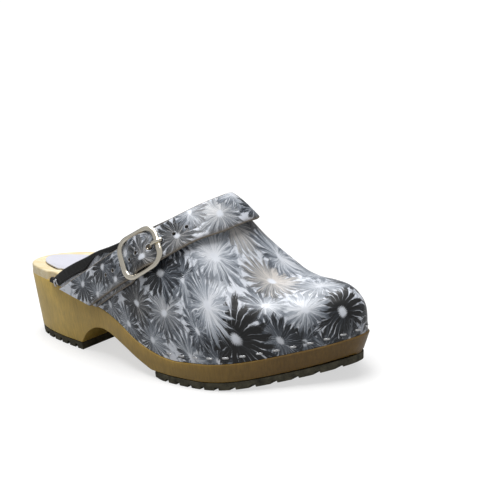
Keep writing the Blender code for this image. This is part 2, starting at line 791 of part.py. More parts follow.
def make_tab():
    """Short tab under the strap's free end that holds the buckle's bar in its fold."""
    half = STRAP_WIDTH / 2
    rows = (-half - TAB_OVERHANG, -half / 2, 0.0, half - TAB_INSET)
    feet = [strap_end(w, LATERAL) for w in rows]
    stop = BUCKLE_U - BAR_RADIUS - 3 * CLEARANCE
    narrow = FRAME_HALF_WIDTH - 4 * BUCKLE_WIRE
    shell = Shell()
    loops = []
    for k in np.linspace(0, 1, 12):
        u = np.array(feet) + (stop - np.array(feet)) * k
        shrink = max(0, 1 - (1 - k) / TAB_TAPER)
        w = np.array(rows)
        w[0] = rows[0] + (-narrow - rows[0]) * shrink
        w[-1] = rows[-1] + (narrow - rows[-1]) * shrink
        loops.append(shell.add(strap_section(u, w, np.full(4, TAB_UNDER), TAB_THICKNESS)))
    shell.loft(loops)
    return finish_mesh("buckle_tab", shell.verts, shell.faces, (0.5, 0.51, 0.55), 0.3)


def wire_loop(shell, path, radius, closed, breadth=1.0, sides=8):
    """Sweeps a wire along a path given in the strap's space, broader than it is high
    by a factor."""
    path = np.array(path)
    if closed:
        along = unit(np.roll(path, -1, axis=0) - np.roll(path, 1, axis=0))
    else:
        along = unit(np.gradient(path, axis=0))
    loops = []
    for point, way in zip(path, along):
        up = np.array([0, 0, 1.0]) if abs(way[2]) < 0.8 else np.array([1.0, 0, 0])
        side = unit(np.cross(way, up)[None])[0]
        lift = np.cross(side, way)
        angles = np.linspace(0, 2 * math.pi, sides, endpoint=False)
        ring = point + radius * (
            breadth * np.cos(angles)[:, None] * side + np.sin(angles)[:, None] * lift
        )
        loops.append(shell.add(band_points(*ring.T)))
    shell.loft(loops, closed_path=closed)


def make_buckle():
    """Frame of bent wire, a rounded rectangle, with a dropped centre bar."""
    frame = []
    for cu, cw, start in ((1, 1, 0), (-1, 1, 90), (-1, -1, 180), (1, -1, 270)):
        for step in range(6):
            a = math.radians(start + 90 * step / 5)
            frame.append((
                BUCKLE_U + cu * (FRAME_HALF_LENGTH - BUCKLE_CORNER) + BUCKLE_CORNER * math.cos(a),
                cw * (FRAME_HALF_WIDTH - BUCKLE_CORNER) + BUCKLE_CORNER * math.sin(a),
                FRAME_HEIGHT,
            ))
        if cu == cw:
            frame.append((BUCKLE_U, cw * FRAME_HALF_WIDTH, FRAME_HEIGHT))
    ring = Shell()
    wire_loop(ring, frame, BUCKLE_WIRE, True, BUCKLE_BREADTH)
    buckle = finish_mesh("buckle_frame", ring.verts, ring.faces, (0.7, 0.69, 0.66), 0.2, 1.0)
    post, bend = FRAME_HALF_WIDTH, BAR_RADIUS * 0.64
    drop = [(BUCKLE_U, w, h) for w, h in (
        (-post, FRAME_HEIGHT),
        (-post, BAR_HEIGHT + bend),
        (-post + bend, BAR_HEIGHT),
        (0, BAR_HEIGHT),
        (post - bend, BAR_HEIGHT),
        (post, BAR_HEIGHT + bend),
        (post, FRAME_HEIGHT),
    )]
    bar = Shell()
    wire_loop(bar, drop, BAR_RADIUS * 0.95, False)
    bar_part = finish_mesh("bar_guide", bar.verts, bar.faces, (0.7, 0.69, 0.66), 0.2, 1.0)
    bar_part.hide_render = True
    bar_part.display_type = "WIRE"
    join = buckle.modifiers.new("bar", "BOOLEAN")
    join.operation = "UNION"
    join.object = bar_part
    return buckle


def make_prong():
    """Prong from above the bar, under the strap, up through its hole and onto the
    frame's far side."""
    gap = CLEARANCE + PRONG_RADIUS
    over_frame = FRAME_HEIGHT + BUCKLE_WIRE + gap
    over_bar = BAR_HEIGHT + BAR_RADIUS + gap
    start, dip = 2 * BAR_SHOULDER, PRONG_HOLE - 0.0016
    rise = PRONG_HOLE + 0.0012
    under = [float(strap_lift(BUCKLE_U + u)) - gap - 0.0001 for u in (start, dip)]
    above = float(strap_lift(BUCKLE_U + rise)) + STRAP_THICKNESS + gap
    path = [(BUCKLE_U + u, 0.0, h) for u, h in (
        (-0.0018, over_bar),
        (0.0, over_bar),
        (BAR_SHOULDER, over_bar - CLEARANCE),
        (start, under[0]),
        (dip, under[1]),
        (PRONG_HOLE - 0.0002, (under[1] + above) / 2 - CLEARANCE),
        (rise, above),
        (rise + 0.0016, over_frame - 0.0005),
        (FRAME_HALF_LENGTH - 0.0014, over_frame),
        (FRAME_HALF_LENGTH + 0.0012, over_frame - 0.0002),
    )]
    shell = Shell()
    wire_loop(shell, path, PRONG_RADIUS, False)
    return finish_mesh("buckle_prong", shell.verts, shell.faces, (0.7, 0.69, 0.66), 0.2, 1.0)


for old in list(bpy.data.objects):
    bpy.data.objects.remove(old)

make_sole()
make_tread("heel_tread", TAPER + TREAD_INSET, HEEL_BREAST, 0, HEEL_GROOVE)
make_tread("forefoot_tread", SHANK_END, SOLE_LENGTH - TAPER - TREAD_INSET, TREAD_LEAD, FOREFOOT_GROOVE)
make_insole()
make_upper()
make_binding()
make_strap()
make_tab()
make_buckle()
make_prong()
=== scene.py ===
"""Looks of a right swedish clog, in metres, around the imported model.

+X is the toe, +Y the medial side and +Z up. Lengthwise places are shares of the sole's
length, counted from the back of the heel.
"""

import math

import bmesh
import bpy
import numpy as np
from mathutils import Matrix, Vector


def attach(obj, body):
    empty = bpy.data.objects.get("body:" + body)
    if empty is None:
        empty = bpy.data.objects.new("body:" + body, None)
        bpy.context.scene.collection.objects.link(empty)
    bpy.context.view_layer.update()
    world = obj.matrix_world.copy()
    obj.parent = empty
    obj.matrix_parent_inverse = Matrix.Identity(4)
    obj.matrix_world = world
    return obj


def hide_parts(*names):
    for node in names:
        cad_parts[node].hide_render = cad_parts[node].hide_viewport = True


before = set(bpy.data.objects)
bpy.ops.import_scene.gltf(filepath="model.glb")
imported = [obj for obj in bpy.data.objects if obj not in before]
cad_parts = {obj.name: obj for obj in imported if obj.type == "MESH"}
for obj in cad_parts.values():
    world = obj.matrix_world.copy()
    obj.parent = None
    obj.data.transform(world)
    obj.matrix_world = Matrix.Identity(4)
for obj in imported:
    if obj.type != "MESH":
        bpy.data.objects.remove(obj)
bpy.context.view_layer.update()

# The camera looks at the lateral side from ahead of the ball, a little above, 0.9 m
# away, and leans a few degrees as the photograph does.
SENSOR = 36
LENS = 107.54
AZIMUTH = math.radians(37.244)
ELEVATION = math.radians(14.175)
ROLL = math.radians(-3.077)
DISTANCE = 0.9
TARGET = Vector((0.15416, -0.010046, 0.075243))

away = Vector((
    math.sin(AZIMUTH) * math.cos(ELEVATION),
    -math.cos(AZIMUTH) * math.cos(ELEVATION),
    math.sin(ELEVATION),
))
level = Vector((math.cos(AZIMUTH), math.sin(AZIMUTH), 0))
upright = away.cross(level)
rolled_x = math.cos(ROLL) * level + math.sin(ROLL) * upright
rolled_y = math.cos(ROLL) * upright - math.sin(ROLL) * level
camera = bpy.data.objects.new("camera", bpy.data.cameras.new("camera"))
camera.data.lens = LENS
camera.data.sensor_width = SENSOR
camera.data.clip_end = 20
camera.matrix_world = Matrix.Translation(TARGET + DISTANCE * away) @ Matrix((
    (rolled_x.x, rolled_y.x, away.x),
    (rolled_x.y, rolled_y.y, away.y),
    (rolled_x.z, rolled_y.z, away.z),
)).to_4x4()
bpy.context.scene.collection.objects.link(camera)
bpy.context.scene.camera = camera


# The studio: a seamless sheet of paper that turns up behind the shoe and is lit to pure
# white, a dim white room, one large soft light straight above, and a weaker one behind.
def srgb(code):
    """Linear colour of an sRGB hex code."""
    parts = [int(code[i:i + 2], 16) / 255 for i in (1, 3, 5)]
    return (*[p / 12.92 if p <= 0.04045 else ((p + 0.055) / 1.055) ** 2.4 for p in parts], 1)


def plug(node, inputs):
    """Fills a node's inputs: a socket is linked, a hex colour or a number is set."""
    for key, value in inputs.items():
        if isinstance(value, bpy.types.NodeSocket):
            node.id_data.links.new(value, node.inputs[key])
        else:
            node.inputs[key].default_value = srgb(value) if isinstance(value, str) else value


def add(tree, kind, *values, out=0, stops=(), **settings):
    """Adds a shader node and returns one of its outputs. Its operation may follow its
    kind, its inputs come in order or in a dict, and a colour ramp takes stops."""
    kind, *operation = kind.split()
    node = tree.nodes.new("ShaderNode" + kind)
    for name, value in [("operation", word) for word in operation] + list(settings.items()):
        setattr(node, name, value)
    if stops:
        ramp = node.color_ramp.elements
        for end, (share, code) in zip(ramp, (stops[0], stops[-1])):
            end.position = share
            end.color = srgb(code)
        for share, code in stops[1:-1]:
            ramp.new(share).color = srgb(code)
    named = values and isinstance(values[0], dict)
    plug(node, values[0] if named else dict(enumerate(values)))
    return node.outputs[out]


def material(name, **sockets):
    """A Principled material with some sockets set, its node tree and its shader."""
    made = bpy.data.materials.new(name)
    made.use_nodes = True
    shader = made.node_tree.nodes["Principled BSDF"]
    plug(shader, {socket.replace("_", " "): value for socket, value in sockets.items()})
    return made, made.node_tree, shader


def shape(name, verts, faces, *materials):
    """A smooth mesh object with its materials."""
    mesh = bpy.data.meshes.new(name)
    mesh.from_pydata([tuple(v) for v in verts], [], faces)
    made = bpy.data.objects.new(name, mesh)
    bpy.context.scene.collection.objects.link(made)
    for one in materials:
        mesh.materials.append(one)
    mesh.shade_smooth()
    return made


FLOOR_HALF = 3.0
WALL_BEND = 0.8
BEND_STEPS = 16
paper, tree, shader = material("matt_paper", Base_Color="#AAAAAA", Emission_Color="#FFFFFF",
                               Roughness=0.9, Specular_IOR_Level=0.1)
seen = add(tree, "LightPath", out="Is Camera Ray")
far = add(tree, "VectorMath LENGTH", add(tree, "TexCoord", out="Object"), out="Value")
glow = add(tree, "MapRange", far, 0.3, 1.2, 0.62, 0.94)
plug(shader, {"Emission Strength": add(tree, "Math MULTIPLY", seen, glow)})
profile = [(-FLOOR_HALF, 0), (FLOOR_HALF - WALL_BEND, 0)]
for step in range(1, BEND_STEPS + 1):
    angle = math.radians(90 * step / BEND_STEPS)
    profile.append((FLOOR_HALF - WALL_BEND * (1 - math.sin(angle)), WALL_BEND * (1 - math.cos(angle))))
profile.append((FLOOR_HALF, FLOOR_HALF))
verts = []
ahead = Vector((away.x, away.y, 0)).normalized()
for back, height in profile:
    for across in (-2 * FLOOR_HALF, 2 * FLOOR_HALF):
        verts.append(level * across - ahead * back + Vector((0, 0, height)))
faces = [(2 * i, 2 * i + 1, 2 * i + 3, 2 * i + 2) for i in range(len(profile) - 1)]
backdrop = shape("backdrop", verts, faces, paper)

world = bpy.data.worlds.new("white_room")
world.use_nodes = True
mirrored = add(world.node_tree, "LightPath", out="Is Glossy Ray")
glare = add(world.node_tree, "MapRange", mirrored, 0, 1, 0.25, 0.42)
plug(world.node_tree.nodes["Background"], {"Color": "#FFFFFF", "Strength": glare})
bpy.context.scene.world = world
bpy.context.scene.view_settings.view_transform = "Standard"


def soft_light(name, place, power, size):
    """A square soft light that faces the shoe."""
    light = bpy.data.lights.new(name, "AREA")
    light.energy = power
    light.size = size
    lamp = bpy.data.objects.new(name, light)
    lamp.location = place
    lamp.rotation_euler = (TARGET - Vector(place)).to_track_quat("-Z", "Y").to_euler()
    bpy.context.scene.collection.objects.link(lamp)


soft_light("key_light", (0.10, -0.22, 1.50), 22, 1.0)
soft_light("back_light", (-0.4, 0.8, 1.1), 7, 0.9)


# The sole is one block of limewood or alder, stained golden brown and lacquered on its
# sides and its ledge, where the leather is stapled. Its top rim is left pale.
def ease(t):
    """A smooth step from 0 to 1."""
    return (3 - 2 * t) * t * t


class Table:
    """A short table with named columns, read between its rows by a smooth curve."""

    def __init__(self, columns, *rows):
        data = np.array(rows, dtype=float).T
        self.share = data[0]
        self.columns = dict(zip(columns.split()[1:], data[1:]))

    def at(self, column, x):
        """Value of a column at a place along the sole, or at an array of places."""
        ys, xs = self.columns[column], self.share
        share = np.clip(np.asarray(x) / SOLE_LENGTH, xs[0], xs[-1])
        slope = np.gradient(ys, xs)
        i = np.clip(np.searchsorted(xs, share) - 1, 0, len(xs) - 2)
        h = xs[i + 1] - xs[i]
        t = (share - xs[i]) / h
        bend = t * (1 - t) * h
        return ys[i] + (ys[i + 1] - ys[i]) * ease(t) + bend * ((1 - t) * slope[i] - t * slope[i + 1])


SOLE_LENGTH = 0.258
BALL_WIDTH = 0.098
HEEL_LEDGE = 0.0416
FOREFOOT_LEDGE = 0.0164
RIM_ABOVE_LEDGE = 0.006
TOE_SPRING = 0.0115
SPRING_START = 0.68
HEEL_ROUND_LENGTH = 0.345 * SOLE_LENGTH
TOE_ROUND_LENGTH = 0.372 * SOLE_LENGTH
HEEL_BREAST = 0.2504 * SOLE_LENGTH
SHANK_END = 0.562 * SOLE_LENGTH
ARCH_HEIGHT = 0.0208
RIM_WIDTH = 0.0065
LEDGE_STEP = 0.0010
RIM_FALL = 0.0004
DISH_DEPTH = 0.0042
DISH_MARGIN = 0.0025
DISH_RUN = 0.020
TAPER = 0.0040
TREAD_THICKNESS = 0.0047
CLEARANCE = 0.0003
LEATHER = 0.0018
TOPLINE_START = 0.157 * SOLE_LENGTH
BINDING_THICKNESS = 0.0010
BINDING_ROOM_END = 0.248 * SOLE_LENGTH
ORIGIN_X = (TAPER + HEEL_BREAST) / 2
WOOD_BOTTOM = TREAD_THICKNESS + CLEARANCE
LATERAL, MEDIAL = -1, 1
DENSE = 900

# Half widths and centre line of the sole, in ball widths
PLAN = Table(
    "share lateral medial centre",
    (0.00, 0.339, 0.325, 0.000),
    (0.15, 0.339, 0.325, -0.021),
    (0.35, 0.382, 0.320, -0.048),
    (0.50, 0.482, 0.360, -0.063),
    (0.65, 0.553, 0.460, -0.054),
    (0.78, 0.558, 0.520, -0.024),
    (0.90, 0.400, 0.500, 0.020),
    (1.00, 0.300, 0.300, 0.070),
)

# Ledge: 1 is the heel's ledge height, 0 the forefoot's. Dish: shares of its depth.
# Leather: how far its face lies inside the wood's side, in steps. Taper: lean of the side.
SIDE = Table(
    "share ledge dish leather taper",
    (0.00, 1.00, 0.60, -0.60, 1.00),
    (0.12, 1.05, 1.00, -0.60, 1.00),
    (0.20, 0.985, 1.00, -0.50, 1.00),
    (0.30, 0.814, 0.80, -0.20, 0.90),
    (0.40, 0.628, 0.60, 0.20, 0.70),
    (0.45, 0.453, 0.55, 0.50, 0.60),
    (0.50, 0.230, 0.50, 0.70, 0.50),
    (0.55, 0.076, 0.50, 0.90, 0.40),
    (0.62, -0.035, 0.60, 1.00, 0.35),
    (0.70, -0.008, 0.70, 1.00, 0.35),
    (0.85, 0.000, 0.50, 1.00, 0.50),
    (1.00, 0.000, 0.30, 1.00, 0.95),
)

# Underside of the shank from heel breast to forefoot: share of that run, and height
ARCH = (
    (0.00, -0.20),
    (0.00, 0.20),
    (0.035, 0.42),
    (0.08, 0.61),
    (0.15, 0.80),
    (0.235, 0.95),
    (0.325, 1.00),
    (0.43, 0.95),
    (0.52, 0.85),
    (0.67, 0.66),
    (0.82, 0.44),
    (0.94, 0.28),
    (1.00, 0.20),
    (1.04, -0.20),
)


def spring(x):
    """Rise of the underside towards the toe."""
    start = SPRING_START * SOLE_LENGTH
    run = np.clip((np.asarray(x) - start) / (SOLE_LENGTH - start), 0, None)
    return TOE_SPRING * run**2


def ledge_height(x):
    """Height of the ledge on which the leather's lower edge stands."""
    step = SIDE.at("ledge", x)
    return FOREFOOT_LEDGE + (HEEL_LEDGE - FOREFOOT_LEDGE) * step + spring(x)


def rim_height(x):
    """Height of the footbed's rim."""
    return ledge_height(x) + RIM_ABOVE_LEDGE


def outline(side, turn):
    """Plan of the sole's edge: turn runs from 0 at the heel to 1 at the toe."""
    share = (1 - np.cos(np.pi * np.asarray(turn))) / 2
    x = share * SOLE_LENGTH
    half = PLAN.at("lateral" if side == LATERAL else "medial", x) * BALL_WIDTH
    for length, from_end, power in (
        (HEEL_ROUND_LENGTH, share, 2.2),
        (TOE_ROUND_LENGTH, 1 - share, 2.3),
    ):
        run = np.clip(from_end * SOLE_LENGTH / length, 0, 1)
        half = half * np.clip(1 - (1 - run) ** power, 0, 1) ** (1 / power)
    return x, PLAN.at("centre", x) * BALL_WIDTH + side * half


def edge_ring(count):
    """Closed outline of the sole with its outward normals, heel first, lateral side,
    toe and back."""
    turn = np.linspace(0, 1, count + 1)
    lateral = np.column_stack(outline(LATERAL, turn))
    medial = np.column_stack(outline(MEDIAL, turn))[-2:0:-1]
    ring = np.vstack([lateral, medial])
    along = np.roll(ring, -1, axis=0) - np.roll(ring, 1, axis=0)
    along /= np.linalg.norm(along, axis=1)[:, None]
    return ring, np.column_stack([along[:, 1], -along[:, 0]])


def inset_edges(inset):
    """Dense lateral and medial edges, moved in by inset(x)."""
    ring, normal = edge_ring(DENSE)
    ring = ring - normal * inset(ring[:, 0])[:, None]
    return ring[: DENSE + 1], np.vstack([ring[0:1], ring[:DENSE - 1:-1]])


def leather_inset(x):
    """How far the leather's outer face lies inside the wood's side."""
    return SIDE.at("leather", x) * LEDGE_STEP


def bottom_inset(x):
    """How far the wood has tapered in at its underside."""
    return SIDE.at("taper", x) * TAPER


def rabbet_inset(x):
    """How far the wall behind the leather lies inside the wood's side."""
    lead, tail, least = 0.003, 0.004, 0.0001
    start = TOPLINE_START - tail
    x = np.asarray(x)
    worn = np.clip((x - start + lead) / lead, 0, 1)
    bound = worn * np.clip((BINDING_ROOM_END - x) / tail, 0, 1)
    full = leather_inset(x) + LEATHER + CLEARANCE + bound * (BINDING_THICKNESS + 2 * CLEARANCE)
    return least + worn * (full - least)


LEATHER_EDGES = dict(zip((LATERAL, MEDIAL), inset_edges(leather_inset)))
FOOTBED_EDGES = inset_edges(lambda x: rabbet_inset(x) + RIM_WIDTH)


def footbed_height(x, y):
    """Height of the dished footbed."""
    low = np.interp(x, *FOOTBED_EDGES[0].T)
    high = np.interp(x, *FOOTBED_EDGES[1].T)
    across = np.clip(abs(2 * y - low - high) / np.maximum(high - low, 1e-4), 0, 1)
    from_end = np.minimum(x, SOLE_LENGTH - x) - RIM_WIDTH - DISH_MARGIN
    ends = np.clip(from_end / DISH_RUN, 0, 1)
    depth = DISH_DEPTH * SIDE.at("dish", x)
    return rim_height(x) - RIM_FALL - depth * (1 - across**2) * ends * (2 - ends)


def clean(mesh, merge, outwards=True):
    """Merges a mesh's doubled points, and turns its faces outwards."""
    bm = bmesh.new()
    bm.from_mesh(mesh)
    bmesh.ops.remove_doubles(bm, verts=bm.verts, dist=merge)
    if outwards:
        bmesh.ops.recalc_face_normals(bm, faces=bm.faces)
    bm.to_mesh(mesh)
    bm.free()
    mesh.shade_smooth()


class Shell:
    """Collects points and faces of one mesh, with the number of each face's material."""

    def __init__(self):
        self.verts = []
        self.faces = []
        self.skins = []

    def add(self, points):
        """Adds points and returns their numbers."""
        first = len(self.verts)
        self.verts.extend(np.asarray(points, dtype=float).reshape(-1, 3))
        return list(range(first, len(self.verts)))

    def face(self, corners, skin=0):
        """Adds a face."""
        self.faces.append(tuple(corners))
        self.skins.append(skin)

    def bridge(self, a, b, closed=True, skin=0):
        """Joins two loops of as many points by a band of faces."""
        count = len(a)
        for i in range(count if closed else count - 1):
            j = (i + 1) % count
            self.face((a[i], a[j], b[j], b[i]), skin)

    def loft(self, sections, closed_path=False, skin=0):
        """Joins closed sections in a row, with flat ends unless the path is closed."""
        for a, b in zip(sections, sections[1:]):
            self.bridge(a, b, skin=skin)
        if closed_path:
            self.bridge(sections[-1], sections[0], skin=skin)
        else:
            self.face(sections[0], skin)
            self.face(reversed(sections[-1]), skin)

    def ladder(self, ring, steps, height, skin=0):
        """Fills a ring made by edge_ring with rungs from side to side, whose inner
        points take their height from a function of place."""
        count = len(ring) // 2
        rungs = [[ring[0]]]
        for i in range(1, count):
            a, b = np.array(self.verts[ring[i]]), np.array(self.verts[ring[-i]])
            inner = [a + (b - a) * k / steps for k in range(1, steps)]
            inner = [(p[0], p[1], float(height(p[0], p[1]))) for p in inner]
            rungs.append([ring[i], *self.add(inner), ring[-i]])
        rungs.append([ring[count]])
        for a, b in zip(rungs, rungs[1:]):
            for k in range(steps):
                corners = [a[min(k, len(a) - 1)], a[min(k + 1, len(a) - 1)],
                           b[min(k + 1, len(b) - 1)], b[min(k, len(b) - 1)]]
                self.face(dict.fromkeys(corners), skin)

    def make(self, name, *materials, sharp=35):
        """Turns the collection into an object in the part's frame."""
        made = shape(name, np.array(self.verts) - (ORIGIN_X, 0, 0), self.faces, *materials)
        made.data.polygons.foreach_set("material_index", self.skins)
        clean(made.data, 0.000002)
        made.data.set_sharp_from_angle(angle=math.radians(sharp))
        return made


def belongs(piece, slot, *nodes):
    """Says that a piece rides on the shoe and hides the nodes that it stands for. The slot is not used.
    """
    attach(piece, "root")
    if nodes:
        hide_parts(*nodes)


def freeze(piece):
    """Applies a piece's modifiers."""
    shaped = piece.evaluated_get(bpy.context.evaluated_depsgraph_get())
    piece.data = bpy.data.meshes.new_from_object(shaped)
    piece.modifiers.clear()


def cut(piece, tools, sharp):
    """Cuts tools out of a piece and marks its edges above an angle as sharp."""
    for tool in tools:
        piece.modifiers.new("cut", "BOOLEAN").object = tool
    freeze(piece)
    for tool in tools:
        bpy.data.objects.remove(tool)
    piece.data.set_sharp_from_angle(angle=math.radians(sharp))


SOLE_STATIONS = 150
RIM_CORNER = 0.0012
EDGE_SOFTNESS = 0.0006


def lacquered_wood():
    """Stained limewood under satin lacquer: golden brown, with fine upright grain, soft
    stained clouds, and a low gloss. Its colour runs from light golden at the heel to dark
    brown at the forefoot, partly the staining and partly painted light on the heel and
    painted shade towards the toe. The grain is drawn about a millimetre wide, coarser than
    real, so that it shows."""
    made, tree, shader = material("lacquered_limewood", Roughness=0.42, Coat_Weight=0.2,
                                  Coat_Roughness=0.25)
    place = add(tree, "TexCoord", out="Object")
    ahead = add(tree, "MapRange", add(tree, "SeparateXYZ", place), -0.02, 0.19)
    # Painted light and shade: the ramp along the sole is light golden at the heel and dark brown at the
    # forefoot, partly the staining and partly painted light on the heel and painted shade towards the
    # toe.
    stain_and_painted_light = add(tree, "ValToRGB", ahead, stops=((0, "#DCBB5B"), (0.5, "#B29142"), (1, "#745720")))
    upright = add(tree, "Mapping", {"Vector": place, "Scale": (1, 1, 0.09)})
    grain = add(tree, "TexNoise", {"Vector": upright, "Scale": 900.0, "Detail": 5.0, "Roughness": 0.65})
    cloud = add(tree, "TexNoise", {"Vector": place, "Scale": 45.0, "Detail": 4.0, "Roughness": 0.6})
    fleck = add(tree, "MapRange", grain, 0.3, 0.7, 0.80, 1.14)
    patch = add(tree, "MapRange", cloud, 0.3, 0.7, 0.84, 1.12)
    both = add(tree, "Math MULTIPLY", fleck, patch)
    colour = add(tree, "VectorMath SCALE", {0: stain_and_painted_light, "Scale": both})
    bump = add(tree, "Bump", {"Height": grain, "Distance": 0.00012, "Strength": 0.35})
    plug(shader, {"Base Color": colour, "Normal": bump})
    return made


def pale_wood():
    """The same wood unstained, sanded and sealed: cream, with faint long grain."""
    made, tree, shader = material("sealed_pale_limewood", Roughness=0.45)
    place = add(tree, "TexCoord", out="Object")
    long = add(tree, "Mapping", {"Vector": place, "Scale": (0.08, 1, 1)})
    grain = add(tree, "TexNoise", {"Vector": long, "Scale": 700.0, "Detail": 4.0})
    tint = add(tree, "ValToRGB", grain, stops=((0.3, "#E3CE9C"), (0.7, "#F6EACB")))
    bump = add(tree, "Bump", {"Height": grain, "Distance": 0.0001, "Strength": 0.3})
    plug(shader, {"Base Color": tint, "Normal": bump})
    return made


LACQUERED_WOOD = lacquered_wood()
PALE_WOOD = pale_wood()


def make_sole():
    """The wooden sole with its ledge, rim and dished footbed, and the arch cut out."""
    shell = Shell()
    ring, normal = edge_ring(SOLE_STATIONS)
    x = ring[:, 0]
    step = rabbet_inset(x)
    soft = np.minimum(EDGE_SOFTNESS, step * 0.3)
    foot = WOOD_BOTTOM + spring(x)
    profile = [
        (bottom_inset(x) + EDGE_SOFTNESS, foot, 0),
        (bottom_inset(x) + 0.0001, foot + 0.0005, 0),
        (bottom_inset(x) * 0.5, (foot + ledge_height(x)) / 2, 0),
        (0 * x, ledge_height(x) - soft, 0),
        (soft * 0.3, ledge_height(x) - soft * 0.3, 0),
        (soft, ledge_height(x), 0),
        (step, ledge_height(x), 0),
    ]
    for k in range(5):
        angle = math.radians(90 * k / 4)
        profile.append((step + RIM_CORNER * (1 - math.cos(angle)),
                        rim_height(x) - RIM_CORNER * (1 - math.sin(angle)), 1))
    profile.append((step + RIM_WIDTH * 0.6, rim_height(x) - RIM_FALL * 0.4, 1))
    profile.append((step + RIM_WIDTH, rim_height(x) - RIM_FALL, 1))
    rings = []
    for inset, height, _ in profile:
        rings.append(shell.add(np.column_stack([ring - normal * np.asarray(inset)[:, None], height])))
    for a, b, (_, _, skin) in zip(rings, rings[1:], profile[1:]):
        shell.bridge(a, b, skin=skin)
    shell.ladder(rings[0], 6, lambda px, py: WOOD_BOTTOM + spring(px))
    shell.ladder(rings[-1], 30, footbed_height, skin=1)
    sole = shell.make("wooden_sole", LACQUERED_WOOD, PALE_WOOD)
    cutter = Shell()
    run = SHANK_END - HEEL_BREAST
    xs, zs = np.array(ARCH).T
    smooth = np.linspace(0, 1, 60)
    arch_x = HEEL_BREAST + run * smooth
    arch_z = ARCH_HEIGHT * np.interp(smooth, xs[1:-1], zs[1:-1])
    arch_z = np.convolve(np.pad(arch_z, 2, mode="edge"), np.ones(5) / 5, mode="valid")
    sides = []
    for y in (-BALL_WIDTH, BALL_WIDTH):
        low = [(arch_x[0], y, -0.01)]
        high = [(arch_x[-1] + 0.003, y, -0.01)]
        sides.append(cutter.add(low + [(a, y, b) for a, b in zip(arch_x, arch_z)] + high))
    cutter.loft(sides)
    cut(sole, [cutter.make("arch_tool", LACQUERED_WOOD)], 35)
    belongs(sole, "sole_wood", "sole")


make_sole()


# The treads are black-brown vulcanised rubber, moulded with lugs across the sole, then
# cut to its outline and glued on. Their sides are scuffed and a little dusty.
TREAD_INSET = 0.0003
TREAD_DRAFT = 0.0004
TREAD_LEAD = 0.0060
LEAD_THICKNESS = 0.0035
LUG_PITCH = 0.0092
GROOVE_WIDTH = 0.0030
HEEL_GROOVE_DEPTH = 0.0024
FOREFOOT_GROOVE_DEPTH = 0.0017
SHORTEST_LUG = 0.0020
LUG_SOFTNESS = 0.00025
HEEL_GROOVE = ORIGIN_X + (LUG_PITCH - GROOVE_WIDTH) / 2 - 3 * LUG_PITCH
FOREFOOT_GROOVE = SHANK_END + TREAD_LEAD + GROOVE_WIDTH


def tread_rubber():
    """Vulcanised rubber: dark warm grey, matt, with a dusty bloom and a grit of 0.4 mm."""
    made, tree, shader = material("vulcanised_rubber", Roughness=0.78, Specular_IOR_Level=0.3)
    place = add(tree, "TexCoord", out="Object")
    dust = add(tree, "TexNoise", {"Vector": place, "Scale": 160.0, "Detail": 6.0, "Roughness": 0.7})
    tint = add(tree, "ValToRGB", dust, stops=((0.32, "#34322A"), (0.72, "#6A6654")))
    grit = add(tree, "TexNoise", {"Vector": place, "Scale": 2500.0, "Detail": 3.0})
    bump = add(tree, "Bump", {"Height": grit, "Distance": 0.0002, "Strength": 0.5})
    plug(shader, {"Base Color": tint, "Normal": bump})
    return made


TREAD_RUBBER = tread_rubber()


def make_tread(name, node, start, end, lead, first_groove, depth):
    """A tread with cross lugs, lofted along the sole in fine steps."""
    low, high = inset_edges(lambda x: bottom_inset(x) + TREAD_INSET)
    edge = [(start, TREAD_THICKNESS - LEAD_THICKNESS if lead else 0.0), (start + lead, 0.0)]
    if not lead:
        edge[1:] = [(start + step, 0.0) for step in (0.0003, 0.0008, 0.0016, 0.0030)]
    groove = first_groove
    while groove + GROOVE_WIDTH + SHORTEST_LUG < end:
        if groove > edge[-1][0] + SHORTEST_LUG:
            edge += [
                (groove, 0.0),
                (groove + TREAD_DRAFT, depth),
                (groove + GROOVE_WIDTH - TREAD_DRAFT, depth),
                (groove + GROOVE_WIDTH, 0.0),
            ]
        groove += LUG_PITCH
    last = edge[-1][0]
    edge += [(end - back, 0.0) for back in (0.0040, 0.0025, 0.0015, 0.0006) if end - back > last + 0.0005]
    edge.append((end, 0.0))
    places = []
    for (x0, u0), (x1, u1) in zip(edge, edge[1:]):
        parts = max(1, round((x1 - x0) / 0.0015))
        places += [(x0 + (x1 - x0) * k / parts, u0 + (u1 - u0) * k / parts) for k in range(parts)]
    places.append(edge[-1])
    shell = Shell()
    sections = []
    for x, under in places:
        lateral = float(np.interp(x, *low.T))
        medial = float(np.interp(x, *high.T))
        rise = float(spring(x))
        sections.append(shell.add([
            (x, lateral, rise + TREAD_THICKNESS),
            (x, lateral + TREAD_DRAFT, rise + under),
            (x, medial - TREAD_DRAFT, rise + under),
            (x, medial, rise + TREAD_THICKNESS),
        ]))
    shell.loft(sections)
    tread = shell.make(name, TREAD_RUBBER)
    bevel = tread.modifiers.new("soft edges", "BEVEL")
    bevel.width = LUG_SOFTNESS
    bevel.segments = 2
    bevel.limit_method = "ANGLE"
    bevel.angle_limit = math.radians(40)
    freeze(tread)
    belongs(tread, "tread_rubber", node)


make_tread("rubber_heel_tread", "heel_tread", TAPER + TREAD_INSET, HEEL_BREAST, 0, HEEL_GROOVE,
           HEEL_GROOVE_DEPTH)
make_tread("rubber_forefoot_tread", "forefoot_tread", SHANK_END, SOLE_LENGTH - TAPER - TREAD_INSET,
           TREAD_LEAD, FOREFOOT_GROOVE, FOREFOOT_GROOVE_DEPTH)


# The insole is a thin pad of pale cloth-faced foam, die cut and glued in the footbed.
INSOLE_THICKNESS = 0.0012
INSOLE_LIFT = 0.0009
INSOLE_MARGIN = 0.0025


